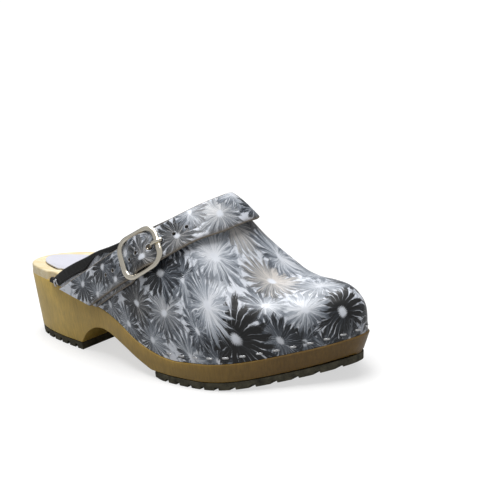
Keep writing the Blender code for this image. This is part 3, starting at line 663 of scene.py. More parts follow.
def insole_cloth():
    """Woven polyester facing: pale lavender grey and matt. Its threads are drawn about
    2.5 mm apart, because the real ones are too fine to show."""
    made, tree, shader = material("woven_polyester", Roughness=0.8, Sheen_Weight=0.25)
    place = add(tree, "TexCoord", out="Object")
    waves = []
    for axis in ("X", "Y"):
        waves.append(add(tree, "TexWave", {"Vector": place, "Scale": 125.0, "Distortion": 0.3},
                         out="Fac", bands_direction=axis))
    cloud = add(tree, "TexNoise", {"Vector": place, "Scale": 60.0, "Detail": 4.0})
    tint = add(tree, "ValToRGB", cloud, stops=((0, "#C6C6D1"), (1, "#DADAE4")))
    weave = add(tree, "Math MAXIMUM", *waves)
    bump = add(tree, "Bump", {"Height": weave, "Distance": 0.0001, "Strength": 0.4})
    plug(shader, {"Base Color": tint, "Normal": bump})
    return made


def make_insole():
    """The insole, with a softly pressed edge."""
    shell = Shell()
    ring, normal = edge_ring(120)
    start = rabbet_inset(ring[:, 0]) + RIM_WIDTH + INSOLE_MARGIN
    loops = []
    for inset, lift in ((0.0002, 0), (0, 0.3), (0.0002, 0.75), (0.0008, 1.0), (0.003, 1.0)):
        plan = ring - normal * (start + inset)[:, None]
        bed = np.array([float(footbed_height(x, y)) for x, y in plan])
        loops.append(shell.add(np.column_stack([plan, bed + INSOLE_LIFT + lift * INSOLE_THICKNESS])))
    for a, b in zip(loops, loops[1:]):
        shell.bridge(a, b)
    shell.ladder(loops[0], 16, lambda px, py: footbed_height(px, py) + INSOLE_LIFT)
    shell.ladder(loops[-1], 16, lambda px, py: footbed_height(px, py) + INSOLE_LIFT + INSOLE_THICKNESS)
    insole = shell.make("cloth_insole", insole_cloth(), sharp=60)
    belongs(insole, "insole_fabric", "insole")


make_insole()


# The upper is one piece of cow leather, about 1.8 mm thick, wet-moulded over a last and
# stapled to the ledge. A soft grey flower print under a glossy coat covers it, and its
# inside has a dark lining.
SKIRT = 0.0070
INSTEP_HEIGHT = 0.1000
THROAT_RISE = 0.0995
FAN_START = 0.72
TOE_POLE = 0.875
SKIRT_SHARE = 0.14

# Crest of the last above the floor in instep heights, how full its sections are (2 is
# an ellipse, more is boxier), and its shift to the medial side in ball widths
CREST = Table(
    "share height fullness shift",
    (0.15, 1.500, 2.0, 0.00),
    (0.30, 1.400, 2.0, 0.01),
    (0.42, 1.280, 2.0, 0.02),
    (0.52, 1.150, 1.9, 0.03),
    (0.60, 1.085, 1.8, 0.043),
    (0.66, 0.988, 1.8, 0.046),
    (0.70, 0.856, 1.9, 0.046),
    (0.74, 0.735, 2.1, 0.04),
    (0.78, 0.622, 2.4, 0.03),
    (0.82, 0.563, 2.7, 0.02),
    (0.87, 0.545, 3.0, 0.00),
    (0.93, 0.548, 3.2, 0.00),
    (1.00, 0.530, 3.2, 0.00),
)

# Side view of the topline: height above the floor in throat heights
TOPLINE = Table(
    "share height",
    (0.150, 0.420),
    (0.175, 0.445),
    (0.200, 0.490),
    (0.264, 0.580),
    (0.314, 0.640),
    (0.351, 0.688),
    (0.411, 0.749),
    (0.488, 0.839),
    (0.560, 0.930),
    (0.610, 0.995),
    (0.660, 1.060),
)


def crest_height(x):
    """Height of the last's crest at a place along the sole."""
    return INSTEP_HEIGHT * CREST.at("height", x)


def topline_height(x):
    """Height of the topline at a place along the sole."""
    return THROAT_RISE * TOPLINE.at("height", x)


def form_sections(x):
    """Sections of the last across the sole at x: crest place, height where the dome
    starts, height of the dome, distances to both edges, and fullness."""
    edges = [np.interp(x, *LEATHER_EDGES[side].T) for side in (LATERAL, MEDIAL)]
    crest_y = (edges[0] + edges[1]) / 2 + CREST.at("shift", x) * BALL_WIDTH
    base = ledge_height(x) + SKIRT
    height = crest_height(x) - base
    reach = (crest_y - edges[0], edges[1] - crest_y)
    return crest_y, base, height, reach, CREST.at("fullness", x)


def onto_form(points):
    """Moves points across the sole onto the outside of the last."""
    points = np.array(points, dtype=float)
    crest_y, base, height, reach, full = form_sections(points[:, 0])
    y = points[:, 1] - crest_y
    z = points[:, 2] - base
    side = np.where(y < 0, reach[0], reach[1])
    ry = np.abs(y) / side
    rz = np.clip(z, 0, None) / height
    low = np.full(len(y), 1e-3)
    high = np.full(len(y), 50.0)
    for _ in range(50):
        mid = (low + high) / 2
        outside = (mid * ry) ** full + (mid * rz) ** full > 1
        high = np.where(outside, mid, high)
        low = np.where(outside, low, mid)
    scale = np.where(z > 0, low, 1 / np.maximum(ry, 1e-6))
    points[:, 1] = crest_y + y * scale
    points[:, 2] = np.where(z > 0, base + z * scale, points[:, 2])
    return points


def unit(vectors):
    """Vectors made one long."""
    return vectors / np.linalg.norm(vectors, axis=1)[:, None]


def lengths(path):
    """Distance run along a path at each of its points."""
    return np.concatenate([[0], np.cumsum(np.linalg.norm(np.diff(path, axis=0), axis=1))])


def along_path(at, run, path):
    """Points of a path at distances along it, where run has the distance of each point."""
    return np.column_stack([np.interp(at, run, column) for column in path.T])


def form_normals(points):
    """Outward normals of the last at points on it."""
    step = 0.0008
    crest_y, base, _, _, _ = form_sections(points[:, 0])
    out = np.column_stack([np.zeros(len(points)), points[:, 1] - crest_y, points[:, 2] - base])
    out[:, 2] = np.maximum(out[:, 2], 0)
    out = unit(out)
    around = np.column_stack([np.zeros(len(points)), -out[:, 2], out[:, 1]]) * step
    along = np.array([step, 0, 0])
    a = onto_form(points + along) - onto_form(points - along)
    b = onto_form(points + around) - onto_form(points - around)
    normal = unit(np.cross(a, b))
    flip = np.sum(normal * out, axis=1) < 0
    normal[flip] *= -1
    return normal


def skin_points(points, height):
    """Points laid on the last and lifted off it by height."""
    on_form = onto_form(points)
    return on_form + form_normals(on_form) * np.asarray(height)[:, None]


def form_row(side, turn, rows):
    """One row of the last's outside, from the ledge to the crest, and the direction in
    plan from the crest to the ledge. Rows fan out round the toe."""
    edge_x, edge_y = along_path(turn, np.linspace(0, 1, DENSE + 1), LEATHER_EDGES[side])[0]
    start, pole = FAN_START * SOLE_LENGTH, TOE_POLE * SOLE_LENGTH
    crest_x = (1 - math.cos(math.pi * turn)) / 2 * SOLE_LENGTH
    if crest_x > start:
        power = (SOLE_LENGTH - start) / (pole - start)
        run = min((crest_x - start) / (SOLE_LENGTH - start), 1)
        crest_x = start + (pole - start) * (1 - (1 - run) ** power)
    crest_y = float(form_sections(np.array([crest_x]))[0][0])
    ledge = float(ledge_height(edge_x))
    full = float(CREST.at("fullness", edge_x))
    climb = np.clip((rows - SKIRT_SHARE) / (1 - SKIRT_SHARE), 0, 1) * math.pi / 2
    out = np.clip(np.cos(climb), 0, 1) ** (2 / full)
    up = np.sin(climb) ** (2 / full)
    low = CLEARANCE + np.clip(rows / SKIRT_SHARE, 0, 1) * (SKIRT - CLEARANCE)
    x = crest_x + (edge_x - crest_x) * out
    points = np.column_stack([
        x,
        crest_y + (edge_y - crest_y) * out,
        ledge + low + (crest_height(x) - ledge - SKIRT) * up,
    ])
    way = np.array([edge_x - crest_x, edge_y - crest_y])
    return points, np.array([crest_x, crest_y]), way / np.linalg.norm(way)


def topline_row(x):
    """Share of a row at which the topline cuts it, for a row at x behind the throat."""
    _, base, height, _, full = form_sections(np.array([x]))
    above = float(topline_height(x)) - base[0]
    if above < 0:
        return SKIRT_SHARE * max(above + SKIRT, 0.0012) / SKIRT
    rise = min(above / height[0], 1)
    climb = math.asin(rise ** (full[0] / 2))
    return SKIRT_SHARE + (1 - SKIRT_SHARE) * climb / (math.pi / 2)


def turn_at(x):
    """Turn of the outline at a place along the sole."""
    return math.acos(1 - 2 * x / SOLE_LENGTH) / math.pi


THROAT = np.linspace(0.4 * SOLE_LENGTH, 0.7 * SOLE_LENGTH, 2000)
THROAT = float(THROAT[np.argmax(topline_height(THROAT) > crest_height(THROAT))])
OPEN_COLUMNS, CLOSED_COLUMNS, UPPER_ROWS = 110, 110, 72


def open_places(count):
    """Places of the columns behind the throat, closer together near it."""
    back = THROAT - TOPLINE_START
    return [THROAT - back * (1 - k / count) ** 1.5 for k in range(count)]


def daisy_group():
    """One brushed daisy, painted over a colour. Spot is the place in radii from its
    centre. Its petals are ragged, each longer or shorter and darker or lighter, and
    streaked out from a pale star in the middle."""
    group = bpy.data.node_groups.new("brushed_daisy", "ShaderNodeTree")
    for name, way, kind in (("Colour", "INPUT", "Color"), ("Spot", "INPUT", "Vector"),
                            ("Kind", "INPUT", "Vector"), ("Colour", "OUTPUT", "Color")):
        group.interface.new_socket(name=name, in_out=way, socket_type="NodeSocket" + kind)
    under, spot, kind = group.nodes.new("NodeGroupInput").outputs[:3]
    x, y, room = add(group, "SeparateXYZ", spot).node.outputs
    petals, seed, tone = add(group, "SeparateXYZ", kind).node.outputs

    # Wander off the true place, then go to polar coordinates
    apart = add(group, "CombineXYZ", x, y, seed)
    wander = add(group, "TexNoise", {"Vector": apart, "Scale": 2.2, "Detail": 2.0}, out="Color")
    wander = add(group, "VectorMath SUBTRACT", wander, (0.5, 0.5, 0.5))
    bent = add(group, "VectorMath MULTIPLY_ADD", wander, (0.22, 0.22, 0), apart)
    x, y, _ = add(group, "SeparateXYZ", bent).node.outputs
    square = add(group, "Math MULTIPLY_ADD", x, x, add(group, "Math MULTIPLY", y, y))
    reach = add(group, "Math SQRT", square)
    bearing = add(group, "Math ARCTAN2", y, x)
    phase = add(group, "Math MULTIPLY", bearing, petals)
    lobe = add(group, "Math COSINE", add(group, "Math MULTIPLY", phase, 0.5))
    lobe = add(group, "Math ABSOLUTE", lobe)

    # Each petal's luck, and the streaks of the brush
    number = add(group, "Math ROUND", add(group, "Math DIVIDE", phase, 2 * math.pi))
    number = add(group, "Math FLOORED_MODULO", number, petals)
    number = add(group, "Math ADD", number, seed)
    luck = add(group, "TexWhiteNoise", {"W": number}, noise_dimensions="1D")
    hair = add(group, "CombineXYZ", add(group, "Math MULTIPLY", phase, 1.1),
               add(group, "Math MULTIPLY", reach, 1.1), seed)
    streak = add(group, "TexNoise", {"Vector": hair, "Scale": 1.0, "Detail": 5.0, "Roughness": 0.75})
    ragged = add(group, "Math SUBTRACT", streak, 0.5)

    # Where paint lies: inside the ragged tips, and not in the gaps between petals
    tip = add(group, "Math MULTIPLY_ADD", lobe, 0.30, -0.02)
    tip = add(group, "Math MULTIPLY_ADD", luck, 0.26, tip)
    tip = add(group, "Math MULTIPLY_ADD", streak, 0.95, tip)
    edge = add(group, "MapRange", add(group, "Math SUBTRACT", tip, reach), 0, 0.05)
    gap = add(group, "MapRange", add(group, "Math MULTIPLY_ADD", ragged, 0.9, lobe), 0.04, 0.20)
    gap = add(group, "Math MAXIMUM", gap, add(group, "MapRange", reach, 0.62, 0.30))
    cover = add(group, "Math MULTIPLY", add(group, "Math MULTIPLY", edge, gap), room)

    # How light the ink is
    sweep = add(group, "Math SINE", add(group, "Math ADD", bearing, seed))
    shade = add(group, "Math MULTIPLY_ADD", sweep, 0.12, tone)
    odd = add(group, "Math SUBTRACT", luck, 0.5)
    shade = add(group, "Math MULTIPLY_ADD", odd, 0.22, shade)
    shade = add(group, "Math MULTIPLY_ADD", ragged, 1.8, shade)
    depth = add(group, "Math SUBTRACT", 0.40, reach)
    depth = add(group, "Math MULTIPLY", depth, add(group, "Math ADD", tone, 0.35))
    shade = add(group, "Math MULTIPLY_ADD", depth, 0.60, shade)
    bare = add(group, "MapRange", streak, 0.58, 0.63)
    bare = add(group, "Math MULTIPLY", bare, add(group, "MapRange", reach, 0.85, 0.40))
    lift = add(group, "Math MULTIPLY_ADD", tone, 0.6, 0.12)
    shade = add(group, "Math MULTIPLY_ADD", bare, lift, shade, use_clamp=True)
    ink = add(group, "ValToRGB", shade, stops=((0, "#08090B"), (0.26, "#30353C"), (0.5, "#6B727C"),
                                               (0.75, "#A9B0BA"), (1, "#E9ECF2")))

    # Some flowers are warm grey, and all have a pale star
    warm = add(group, "Math SINE", add(group, "Math MULTIPLY", seed, 2.1))
    warm = add(group, "MapRange", warm, 0.5, 1, 0, 0.8)
    ink = add(group, "Mix", {0: warm, 6: ink, 7: "#E6DACB"}, out=2, data_type="RGBA",
              blend_type="MULTIPLY")
    star = add(group, "Math SUBTRACT", reach, add(group, "Math MULTIPLY_ADD", lobe, 0.07, 0.05))
    heart = add(group, "MapRange", star, 0, 0.05)
    ink = add(group, "Mix", {0: heart, 6: "#E6EAF2", 7: ink}, out=2, data_type="RGBA")
    painted = add(group, "Mix", {0: cover, 6: under, 7: ink}, out=2, data_type="RGBA")
    plug(group.nodes.new("NodeGroupOutput"), {"Colour": painted})
    return group


# The print's flowers in millimetres on the flat leather: how far along from the heel's
# back, how far down from the crest (lateral side negative), radius, petals, and tone
# from 0, black, to 1, white. A later one is nearer the top of the paint.
UPPER_DAISIES = (
    (78, -60, 13, 16, 0.35), (92, -48, 14, 17, 0.22), (100, -72, 14, 17, 0.42),
    (112, -56, 16, 18, 0.50), (122, -78, 14, 17, 0.40), (132, -88, 16, 17, 0.36),
    (150, -64, 18, 18, 0.20), (124, -42, 15, 17, 0.60), (150, -42, 17, 19, 0.50),
    (156, -86, 19, 19, 0.60), (146, -106, 15, 17, 0.50), (166, -60, 16, 17, 0.50),
    (160, -22, 17, 18, 0.62), (180, -32, 20, 19, 0.80), (178, -98, 17, 18, 0.54),
    (186, -58, 20, 19, 0.80), (176, -6, 18, 18, 0.82), (196, -84, 16, 17, 0.30),
    (206, -13, 20, 20, 0.80), (214, -34, 16, 18, 0.66), (205, -62, 25, 20, -0.10),
    (228, -50, 18, 18, 0.34), (236, -26, 17, 18, 0.78), (230, -2, 18, 19, 0.78),
    (244, -44, 16, 17, 0.22), (255, -12, 23, 20, -0.06), (262, -36, 16, 17, 0.24),
    (274, -14, 15, 17, 0.26), (196, 12, 18, 18, 0.74), (172, 20, 18, 19, 0.62),
    (214, 26, 19, 19, 0.58), (190, 42, 19, 19, 0.40), (240, 20, 18, 18, 0.36),
    (266, 16, 18, 18, 0.20), (228, 48, 19, 19, 0.16), (250, 42, 16, 17, 0.48),
    (205, 66, 18, 18, 0.44), (160, 44, 18, 18, 0.52), (178, 66, 18, 19, 0.22),
    (148, 66, 17, 18, 0.46), (140, 36, 17, 18, 0.60), (120, 50, 17, 18, 0.38),
    (158, 88, 16, 17, 0.36), (126, 74, 15, 17, 0.50), (102, 46, 15, 17, 0.30),
    (98, 66, 14, 17, 0.46), (80, 58, 13, 16, 0.36), (186, 88, 15, 17, 0.50),
    (104, -105, 14, 16, 0.36), (124, -106, 14, 17, 0.44), (182, -77, 13, 17, 0.46),
    (104, 90, 14, 17, 0.40), (122, 99, 15, 17, 0.34), (142, 106, 15, 17, 0.46),
    (164, 112, 14, 16, 0.34), (82, 78, 12, 16, 0.44),
)
LAYERS = 9
FLOWER_REACH = 1.08


def store(piece, name, kind, values):
    """Stores a value or a vector for each point of a piece."""
    field = piece.data.attributes.new(name, kind, "POINT").data
    field.foreach_set("value" if kind == "FLOAT" else "vector", np.ravel(values).astype(np.float32))


def store_flat(piece, flat):
    """Stores each point's place on the flat leather as a UV map."""
    uv = piece.data.uv_layers.new(name="leather")
    corners = np.zeros(len(piece.data.loops), dtype=int)
    piece.data.loops.foreach_get("vertex_index", corners)
    uv.data.foreach_set("uv", flat[corners].astype(np.float32).ravel())


def paint(piece, flat, daisies):
    """Stores the print on a piece's points. Each layer holds flowers that don't touch,
    so a point needs only its place in the nearest one: x and y in radii and how much
    paint may lie there, then the flower's petals, seed and tone."""
    flat = flat * 1000
    spread = FLOWER_REACH + 0.1
    layers = [[] for _ in range(LAYERS)]
    for number, (along, down, radius, petals, tone) in enumerate(daisies):
        for layer in layers:
            if all(math.dist((along, down), other[:2]) > spread * (radius + other[2]) for other in layer):
                layer.append((along, down, radius, petals, tone, number))
                break
    for number, layer in enumerate(layers):
        spot = np.zeros((len(flat), 3), dtype=np.float32)
        kind = np.zeros((len(flat), 3), dtype=np.float32)
        if layer:
            table = np.array(layer)
            away_from = flat[:, None, :] - table[None, :, :2]
            span = np.linalg.norm(away_from, axis=2) / table[None, :, 2]
            nearest = span.argmin(axis=1)
            point = np.arange(len(flat))
            spot[:, :2] = away_from[point, nearest] / table[nearest, 2, None]
            spot[:, 2] = np.clip((spread - span[point, nearest]) / 0.05, 0, 1)
            kind = np.column_stack([table[nearest, 3], table[nearest, 5] * 1.37, table[nearest, 4]])
        store(piece, f"daisy_spot_{number}", "FLOAT_VECTOR", spot)
        store(piece, f"daisy_kind_{number}", "FLOAT_VECTOR", kind)


def printed_leather():
    """Cow leather with a printed film under a clear gloss: white ground with grey
    dabs, brushed daisies, pores 0.9 mm apart, and soft broad highlights. A darker brown grey
    band is painted along a band's front edge, partly the bare leather and partly painted
    shade where the edge rolls down away from the light."""
    made, tree, shader = material("printed_patent_leather", Roughness=0.42, Specular_IOR_Level=0.3,
                                  Coat_Weight=0.5, Coat_Roughness=0.2)
    daisy = daisy_group()
    place = add(tree, "UVMap", uv_map="leather")
    flat = add(tree, "VectorMath SCALE", {0: place, "Scale": 1000.0})
    cloud = add(tree, "TexNoise", {"Vector": flat, "Scale": 0.06, "Detail": 3.0})
    dab = add(tree, "TexNoise", {"Vector": flat, "Scale": 0.22, "Detail": 5.0, "Distortion": 1.2})
    dabs = add(tree, "MapRange", dab, 0.52, 0.60, 0, 0.6)
    ground = add(tree, "Mix", {0: cloud, 6: "#E6EAF2", 7: "#D9DEE8"}, out=2, data_type="RGBA")
    colour = add(tree, "Mix", {0: dabs, 6: ground, 7: "#8D95A1"}, out=2, data_type="RGBA")
    for number in range(LAYERS):
        spot = add(tree, "Attribute", attribute_name=f"daisy_spot_{number}", out="Vector")
        kind = add(tree, "Attribute", attribute_name=f"daisy_kind_{number}", out="Vector")
        colour = add(tree, "Group", {"Colour": colour, "Spot": spot, "Kind": kind}, node_tree=daisy)
    # A darker brown grey band along a band's front edge: partly the bare leather and partly painted shade
    # where the edge rolls down away from the light.
    edge_band_and_shade = add(tree, "Attribute", attribute_name="rolled_edge_and_shade", out="Fac")
    colour = add(tree, "Mix", {0: edge_band_and_shade, 6: colour, 7: "#5E574D"}, out=2, data_type="RGBA")
    pores = add(tree, "TexVoronoi", {"Vector": flat, "Scale": 1.1, "Randomness": 1.0})
    ripple = add(tree, "TexNoise", {"Vector": flat, "Scale": 0.22, "Detail": 2.0})
    height = add(tree, "Math MULTIPLY_ADD", pores, 0.05, ripple)
    bump = add(tree, "Bump", {"Height": height, "Distance": 0.0006, "Strength": 0.35})
    plug(shader, {"Base Color": colour, "Normal": bump, "Coat Normal": bump})
    return made


def fibrous(name, dark, light, scale, distance, strength, **sockets):
    """A matt material of fine fibres in two tones."""
    made, tree, shader = material(name, **sockets)
    place = add(tree, "TexCoord", out="Object")
    fibre = add(tree, "TexNoise", {"Vector": place, "Scale": scale, "Detail": 4.0})
    tint = add(tree, "Mix", {0: fibre, 6: dark, 7: light}, out=2, data_type="RGBA")
    bump = add(tree, "Bump", {"Height": fibre, "Distance": distance, "Strength": strength})
    plug(shader, {"Base Color": tint, "Normal": bump})
    return made


# Brushed cotton lining: almost black, matt, with a short nap
LINING = fibrous("brushed_cotton_lining", "#14130F", "#3A382F", 1500.0, 0.0003, 0.5, Roughness=0.95,
                 Sheen_Weight=0.3)

# Raw cut edge of leather: grey brown, fibrous and matt
CUT_EDGE = fibrous("cut_leather_edge", "#5B544B", "#A2988A", 1800.0, 0.0002, 0.4, Roughness=0.85)

PRINTED_LEATHER = printed_leather()
STAPLE_PITCH = 0.0098
STAPLE_RISE = 0.0039
STAPLES_START = 0.60 * SOLE_LENGTH
PUCKER_DEPTH = 0.0004
PUCKER_WIDTH = 0.0030
PUCKER_REACH = 0.012
PLAIN_EDGE = 0.006


def staple_places():
    """Centres of the staples along the leather's edge, from the ball round the toe, with
    their directions along the edge and outwards."""
    places = []
    for side in (LATERAL, MEDIAL):
        edge = LEATHER_EDGES[side]
        run = lengths(edge)
        first = float(np.interp(STAPLES_START, edge[:, 0], run))
        count = round((run[-1] - first) / STAPLE_PITCH)
        for k in range(count):
            at = first + (k + 0.5) * (run[-1] - first) / count
            back, here, ahead = along_path(at + np.array((-0.001, 0, 0.001)), run, edge)
            along = (ahead - back) / np.linalg.norm(ahead - back)
            places.append((
                np.array([*here, ledge_height(here[0]) + STAPLE_RISE]),
                np.array([*along, 0]),
                side * np.array([-along[1], along[0], 0]),
            ))
    return places


STAPLES = staple_places()

# Creases where the leather bends or is drawn in: place along the shoe and down from the
# crest of both ends in millimetres, width and depth in millimetres.
CREASES = (
    (176, -50, 196, -34, 6.0, 0.45),
    (168, -30, 186, -14, 7.0, 0.35),
    (182, -66, 204, -58, 6.0, 0.35),
    (180, 30, 196, 48, 6.0, 0.40),
    (204, -20, 216, -44, 9.0, 0.35),
    (110, -66, 128, -84, 5.0, 0.35),
    (138, -88, 152, -96, 6.0, 0.40),
)


def crease_depth(flat):
    """How deep the creases press in at places on the leather, in metres."""
    depth = np.zeros(len(flat))
    for x0, y0, x1, y1, width, deep in CREASES:
        a, b = np.array((x0, y0)) / 1000, np.array((x1, y1)) / 1000
        run = np.clip(((flat - a) @ (b - a)) / ((b - a) @ (b - a)), 0, 1)
        off = np.linalg.norm(flat - a - run[:, None] * (b - a), axis=1)
        ends = np.sin(np.pi * np.clip(run, 0.02, 0.98)) ** 0.5
        depth += deep / 1000 * ends * np.exp(-(off * 1000 / width * 2) ** 2)
    return depth


def upper_grid(side):
    """Points of one half of the upper, column by column, with their place on the flat
    leather and their distance up from the ledge."""
    columns = [(turn_at(x), topline_row(x)) for x in open_places(OPEN_COLUMNS)]
    first = turn_at(THROAT)
    columns += [(first + (1 - first) * k / CLOSED_COLUMNS, 1.0) for k in range(CLOSED_COLUMNS + 1)]
    shares = np.linspace(0, 1, UPPER_ROWS)
    full_rows = np.linspace(0, 1, 240)
    points, flats, rises = [], [], []
    for turn, top in columns:
        even = min(1, top / (1 - top + 1e-6) / 2)
        rows = shares * (top + (1 - top) * (1 - shares) * even)
        whole, crest, way = form_row(side, turn, full_rows)
        up = lengths(whole)
        line = form_row(side, turn, rows)[0]
        at = np.interp(rows, full_rows, up)
        points.append(line)
        flats.append(crest + way * (up[-1] - at)[:, None] - np.array([0, crest[1]]))
        rises.append(at)
    return np.array(points), np.array(flats), np.array(rises)


def make_upper():
    """The upper's outer face, pressed in at its creases and staples, then given its
    thickness, lining and cut edge."""
    shell = Shell()
    flats = []
    rises = []
    for side in (LATERAL, MEDIAL):
        points, flat, rise = upper_grid(side)
        grid = [shell.add(column) for column in points]
        flats.append(flat.reshape(-1, 2))
        rises.append(rise.reshape(-1))
        for a, b in zip(grid, grid[1:]):
            for k in range(UPPER_ROWS - 1):
                corners = (a[k], b[k], b[k + 1], a[k + 1])
                shell.face(corners if side == LATERAL else corners[::-1])
    flats, rises = np.vstack(flats), np.concatenate(rises)
    verts = np.array(shell.verts)
    upper = shape("leather_upper", verts - (ORIGIN_X, 0, 0), shell.faces, PRINTED_LEATHER, LINING,
                  CUT_EDGE)
    mesh = upper.data
    store_flat(upper, flats)
    normal = np.zeros(len(verts) * 3)
    mesh.vertices.foreach_get("normal", normal)
    centres = np.array([centre for centre, _, _ in STAPLES])
    low = np.flatnonzero(rises < PUCKER_REACH)
    pucker = np.zeros(len(verts))
    far = np.linalg.norm(verts[low, None, :] - centres[None], axis=2).min(axis=1)
    pucker[low] = PUCKER_DEPTH * np.exp(-(far / PUCKER_WIDTH) ** 2)
    near_edge = np.clip(rises / PLAIN_EDGE, 0, 1)
    push = -(crease_depth(flats) * near_edge + pucker)
    moved = verts - (ORIGIN_X, 0, 0) + normal.reshape(-1, 3) * push[:, None]
    mesh.vertices.foreach_set("co", moved.ravel())
    paint(upper, flats, UPPER_DAISIES)
    clean(mesh, 0.00002, outwards=False)
    wall = upper.modifiers.new("wall", "SOLIDIFY")
    wall.thickness = LEATHER
    wall.offset = -1
    wall.use_even_offset = False
    wall.material_offset = 1
    wall.material_offset_rim = 2
    freeze(upper)
    upper.data.set_sharp_from_angle(angle=math.radians(50))
    belongs(upper, "printed_leather", "upper")


make_upper()


# The binding is a strip of black satin over a thin foam roll, folded over the topline
# and stitched through. Two staples hold each of its ends to the sole.
BINDING_LEG = 0.0055
BINDING_LEGS = ((0.079, BINDING_LEG), (0.090, 0.0008), (0.100, 0.0008), (0.106, 0.0017),
                (0.118, 0.0017), (0.126, 0.0008))
STRAP_FOOT = 0.2713 * SOLE_LENGTH


def black_satin():
    """Polyester satin: black, with a soft sheen and a slanting twill, drawn about 3 mm
    wide because the real one is too fine to show."""
    made, tree, shader = material("black_satin", Roughness=0.5, Specular_IOR_Level=0.35,
                                  Sheen_Weight=0.06, Sheen_Roughness=0.4)
    place = add(tree, "TexCoord", out="Object")
    twill = add(tree, "TexWave", {"Vector": place, "Scale": 140.0, "Distortion": 1.0}, out="Fac",
                bands_direction="DIAGONAL")
    fold = add(tree, "TexNoise", {"Vector": place, "Scale": 220.0, "Detail": 3.0})
    tint = add(tree, "Mix", {0: fold, 6: "#060607", 7: "#141517"}, out=2, data_type="RGBA")
    height = add(tree, "Math MULTIPLY_ADD", twill, 0.15, fold)
    bump = add(tree, "Bump", {"Height": height, "Distance": 0.0005, "Strength": 0.5})
    plug(shader, {"Base Color": tint, "Normal": bump})
    return made


def topline_path():
    """The topline from the lateral ledge over the throat to the medial ledge."""
    columns = [(turn_at(x), topline_row(x)) for x in open_places(90)]
    columns.append((turn_at(THROAT), 1.0))
    lines = {}
    for side in (LATERAL, MEDIAL):
        lines[side] = [form_row(side, turn, np.array([top]))[0][0] for turn, top in columns]
    return np.array(lines[LATERAL] + lines[MEDIAL][-2::-1])


def binding_leg(x):
    """How far the binding's legs reach down at a place along the sole."""
    return np.interp(x, *np.transpose(BINDING_LEGS))


def make_binding():
    """The folded roll, rounder than the leather's edge that it covers."""
    path = topline_path()
    along = unit(np.gradient(path, axis=0))
    out = unit(np.cross(form_normals(path), along))
    middle = -LEATHER / 2
    half = LEATHER / 2 + CLEARANCE + BINDING_THICKNESS
    section = [(middle + half * math.cos(a), half * math.sin(a)) for a in np.linspace(0, math.pi, 13)]
    outer, inner = middle - half, -LEATHER - CLEARANCE
    section += [(outer, -0.3), (outer, -0.7), (outer + 0.0001, -0.95), (outer + 0.0005, -1)]
    section += [(inner - 0.0002, -0.97), (inner, CLEARANCE), (CLEARANCE, CLEARANCE)]
    section += [(CLEARANCE + 0.0002, -0.97), (CLEARANCE + 0.0005, -1)]
    section += [(middle + half - 0.0001, -0.95), (middle + half, -0.7), (middle + half, -0.3)]
    shell = Shell()
    loops = []
    for point, outward in zip(path, out):
        room = (point[2] - ledge_height(point[0]) - 2 * CLEARANCE) / max(outward[2], 0.3)
        leg = min(float(binding_leg(point[0])), room)
        spots = [point + outward * (reach * leg if reach < 0 else reach) for _, reach in section]
        loops.append(shell.add(skin_points(np.array(spots), [h for h, _ in section])))
    shell.loft(loops)
    binding = shell.make("satin_binding", black_satin(), sharp=70)
    belongs(binding, "binding_fabric", "collar_binding")
    return path, out


TOPLINE_POINTS, TOPLINE_OUT = make_binding()


def circle(sides):
    """Cosines and sines of angles spread round a circle, as columns."""
    angles = np.linspace(0, 2 * math.pi, sides, endpoint=False)
    return np.cos(angles)[:, None], np.sin(angles)[:, None]


STITCH_LENGTH = 0.0026
STITCH_PITCH = 0.0032
STITCH_BOW = 0.0002
STITCH_SINK = 0.0001
STITCH_PLACE = 0.72
THREAD_RADIUS = 0.00022


def make_stitches():
    """The row of stitches through both legs of the binding."""
    shell = Shell()
    run = lengths(TOPLINE_POINTS)
    cos, sin = circle(8)
    skin = CLEARANCE + BINDING_THICKNESS
    bow = STITCH_BOW * np.sin(np.linspace(0, np.pi, 6)) - STITCH_SINK
    for k in range(3, int(run[-1] / STITCH_PITCH) - 3):
        at = k * STITCH_PITCH + np.linspace(0, STITCH_LENGTH, 6)
        line = along_path(at, run, TOPLINE_POINTS)
        out = along_path(at, run, TOPLINE_OUT)
        line = line - out * (binding_leg(line[:, 0]) * STITCH_PLACE)[:, None]
        along = unit(np.gradient(line, axis=0))
        normal = form_normals(onto_form(line))
        for face, way in ((skin, 1), (-LEATHER - skin, -1)):
            loops = []
            for i, centre in enumerate(skin_points(line, face + way * bow)):
                side = np.cross(along[i], normal[i])
                loops.append(shell.add(centre + THREAD_RADIUS * (cos * side + sin * normal[i])))
            shell.loft(loops)
    # Waxed polyester thread: dark grey with a slight gloss
    thread = material("waxed_thread", Base_Color="#2B2C2E", Roughness=0.5)[0]
    stitches = shell.make("binding_stitches", thread)
    belongs(stitches, "binding_fabric")


make_stitches()


# The staples are bright steel wire, driven through the leather's edge into the wood,
# one every centimetre round the forefoot and two upright ones at each binding end.
STAPLE_CROWN = 0.0036
STAPLE_SINK = 0.0003
END_STAPLES = (0.0060, 0.0086)
END_STAPLE_PLACE = 0.42
WIRE_WIDE = 0.00060
WIRE_HIGH = 0.00032


def add_staple(shell, centre, along, out):
    """One staple: its crown lies on the leather and its legs dive in."""
    half = STAPLE_CROWN / 2
    path = [(half, -0.0008), (half, 0.0), (half - 0.0002, 0.0003), (half - 0.0006, 0.00045)]
    path = np.array([(-s, h) for s, h in path] + path[::-1])
    across = np.cross(along, out)
    cos, sin = circle(10)
    loops = []
    for i, (s, h) in enumerate(path):
        way = path[min(i + 1, len(path) - 1)] - path[max(i - 1, 0)]
        way = way / np.linalg.norm(way)
        lift = way[0] * out - way[1] * along
        middle = centre + s * along + h * out
        loops.append(shell.add(middle + WIRE_WIDE * cos * across + WIRE_HIGH * sin * lift))
    shell.loft(loops)


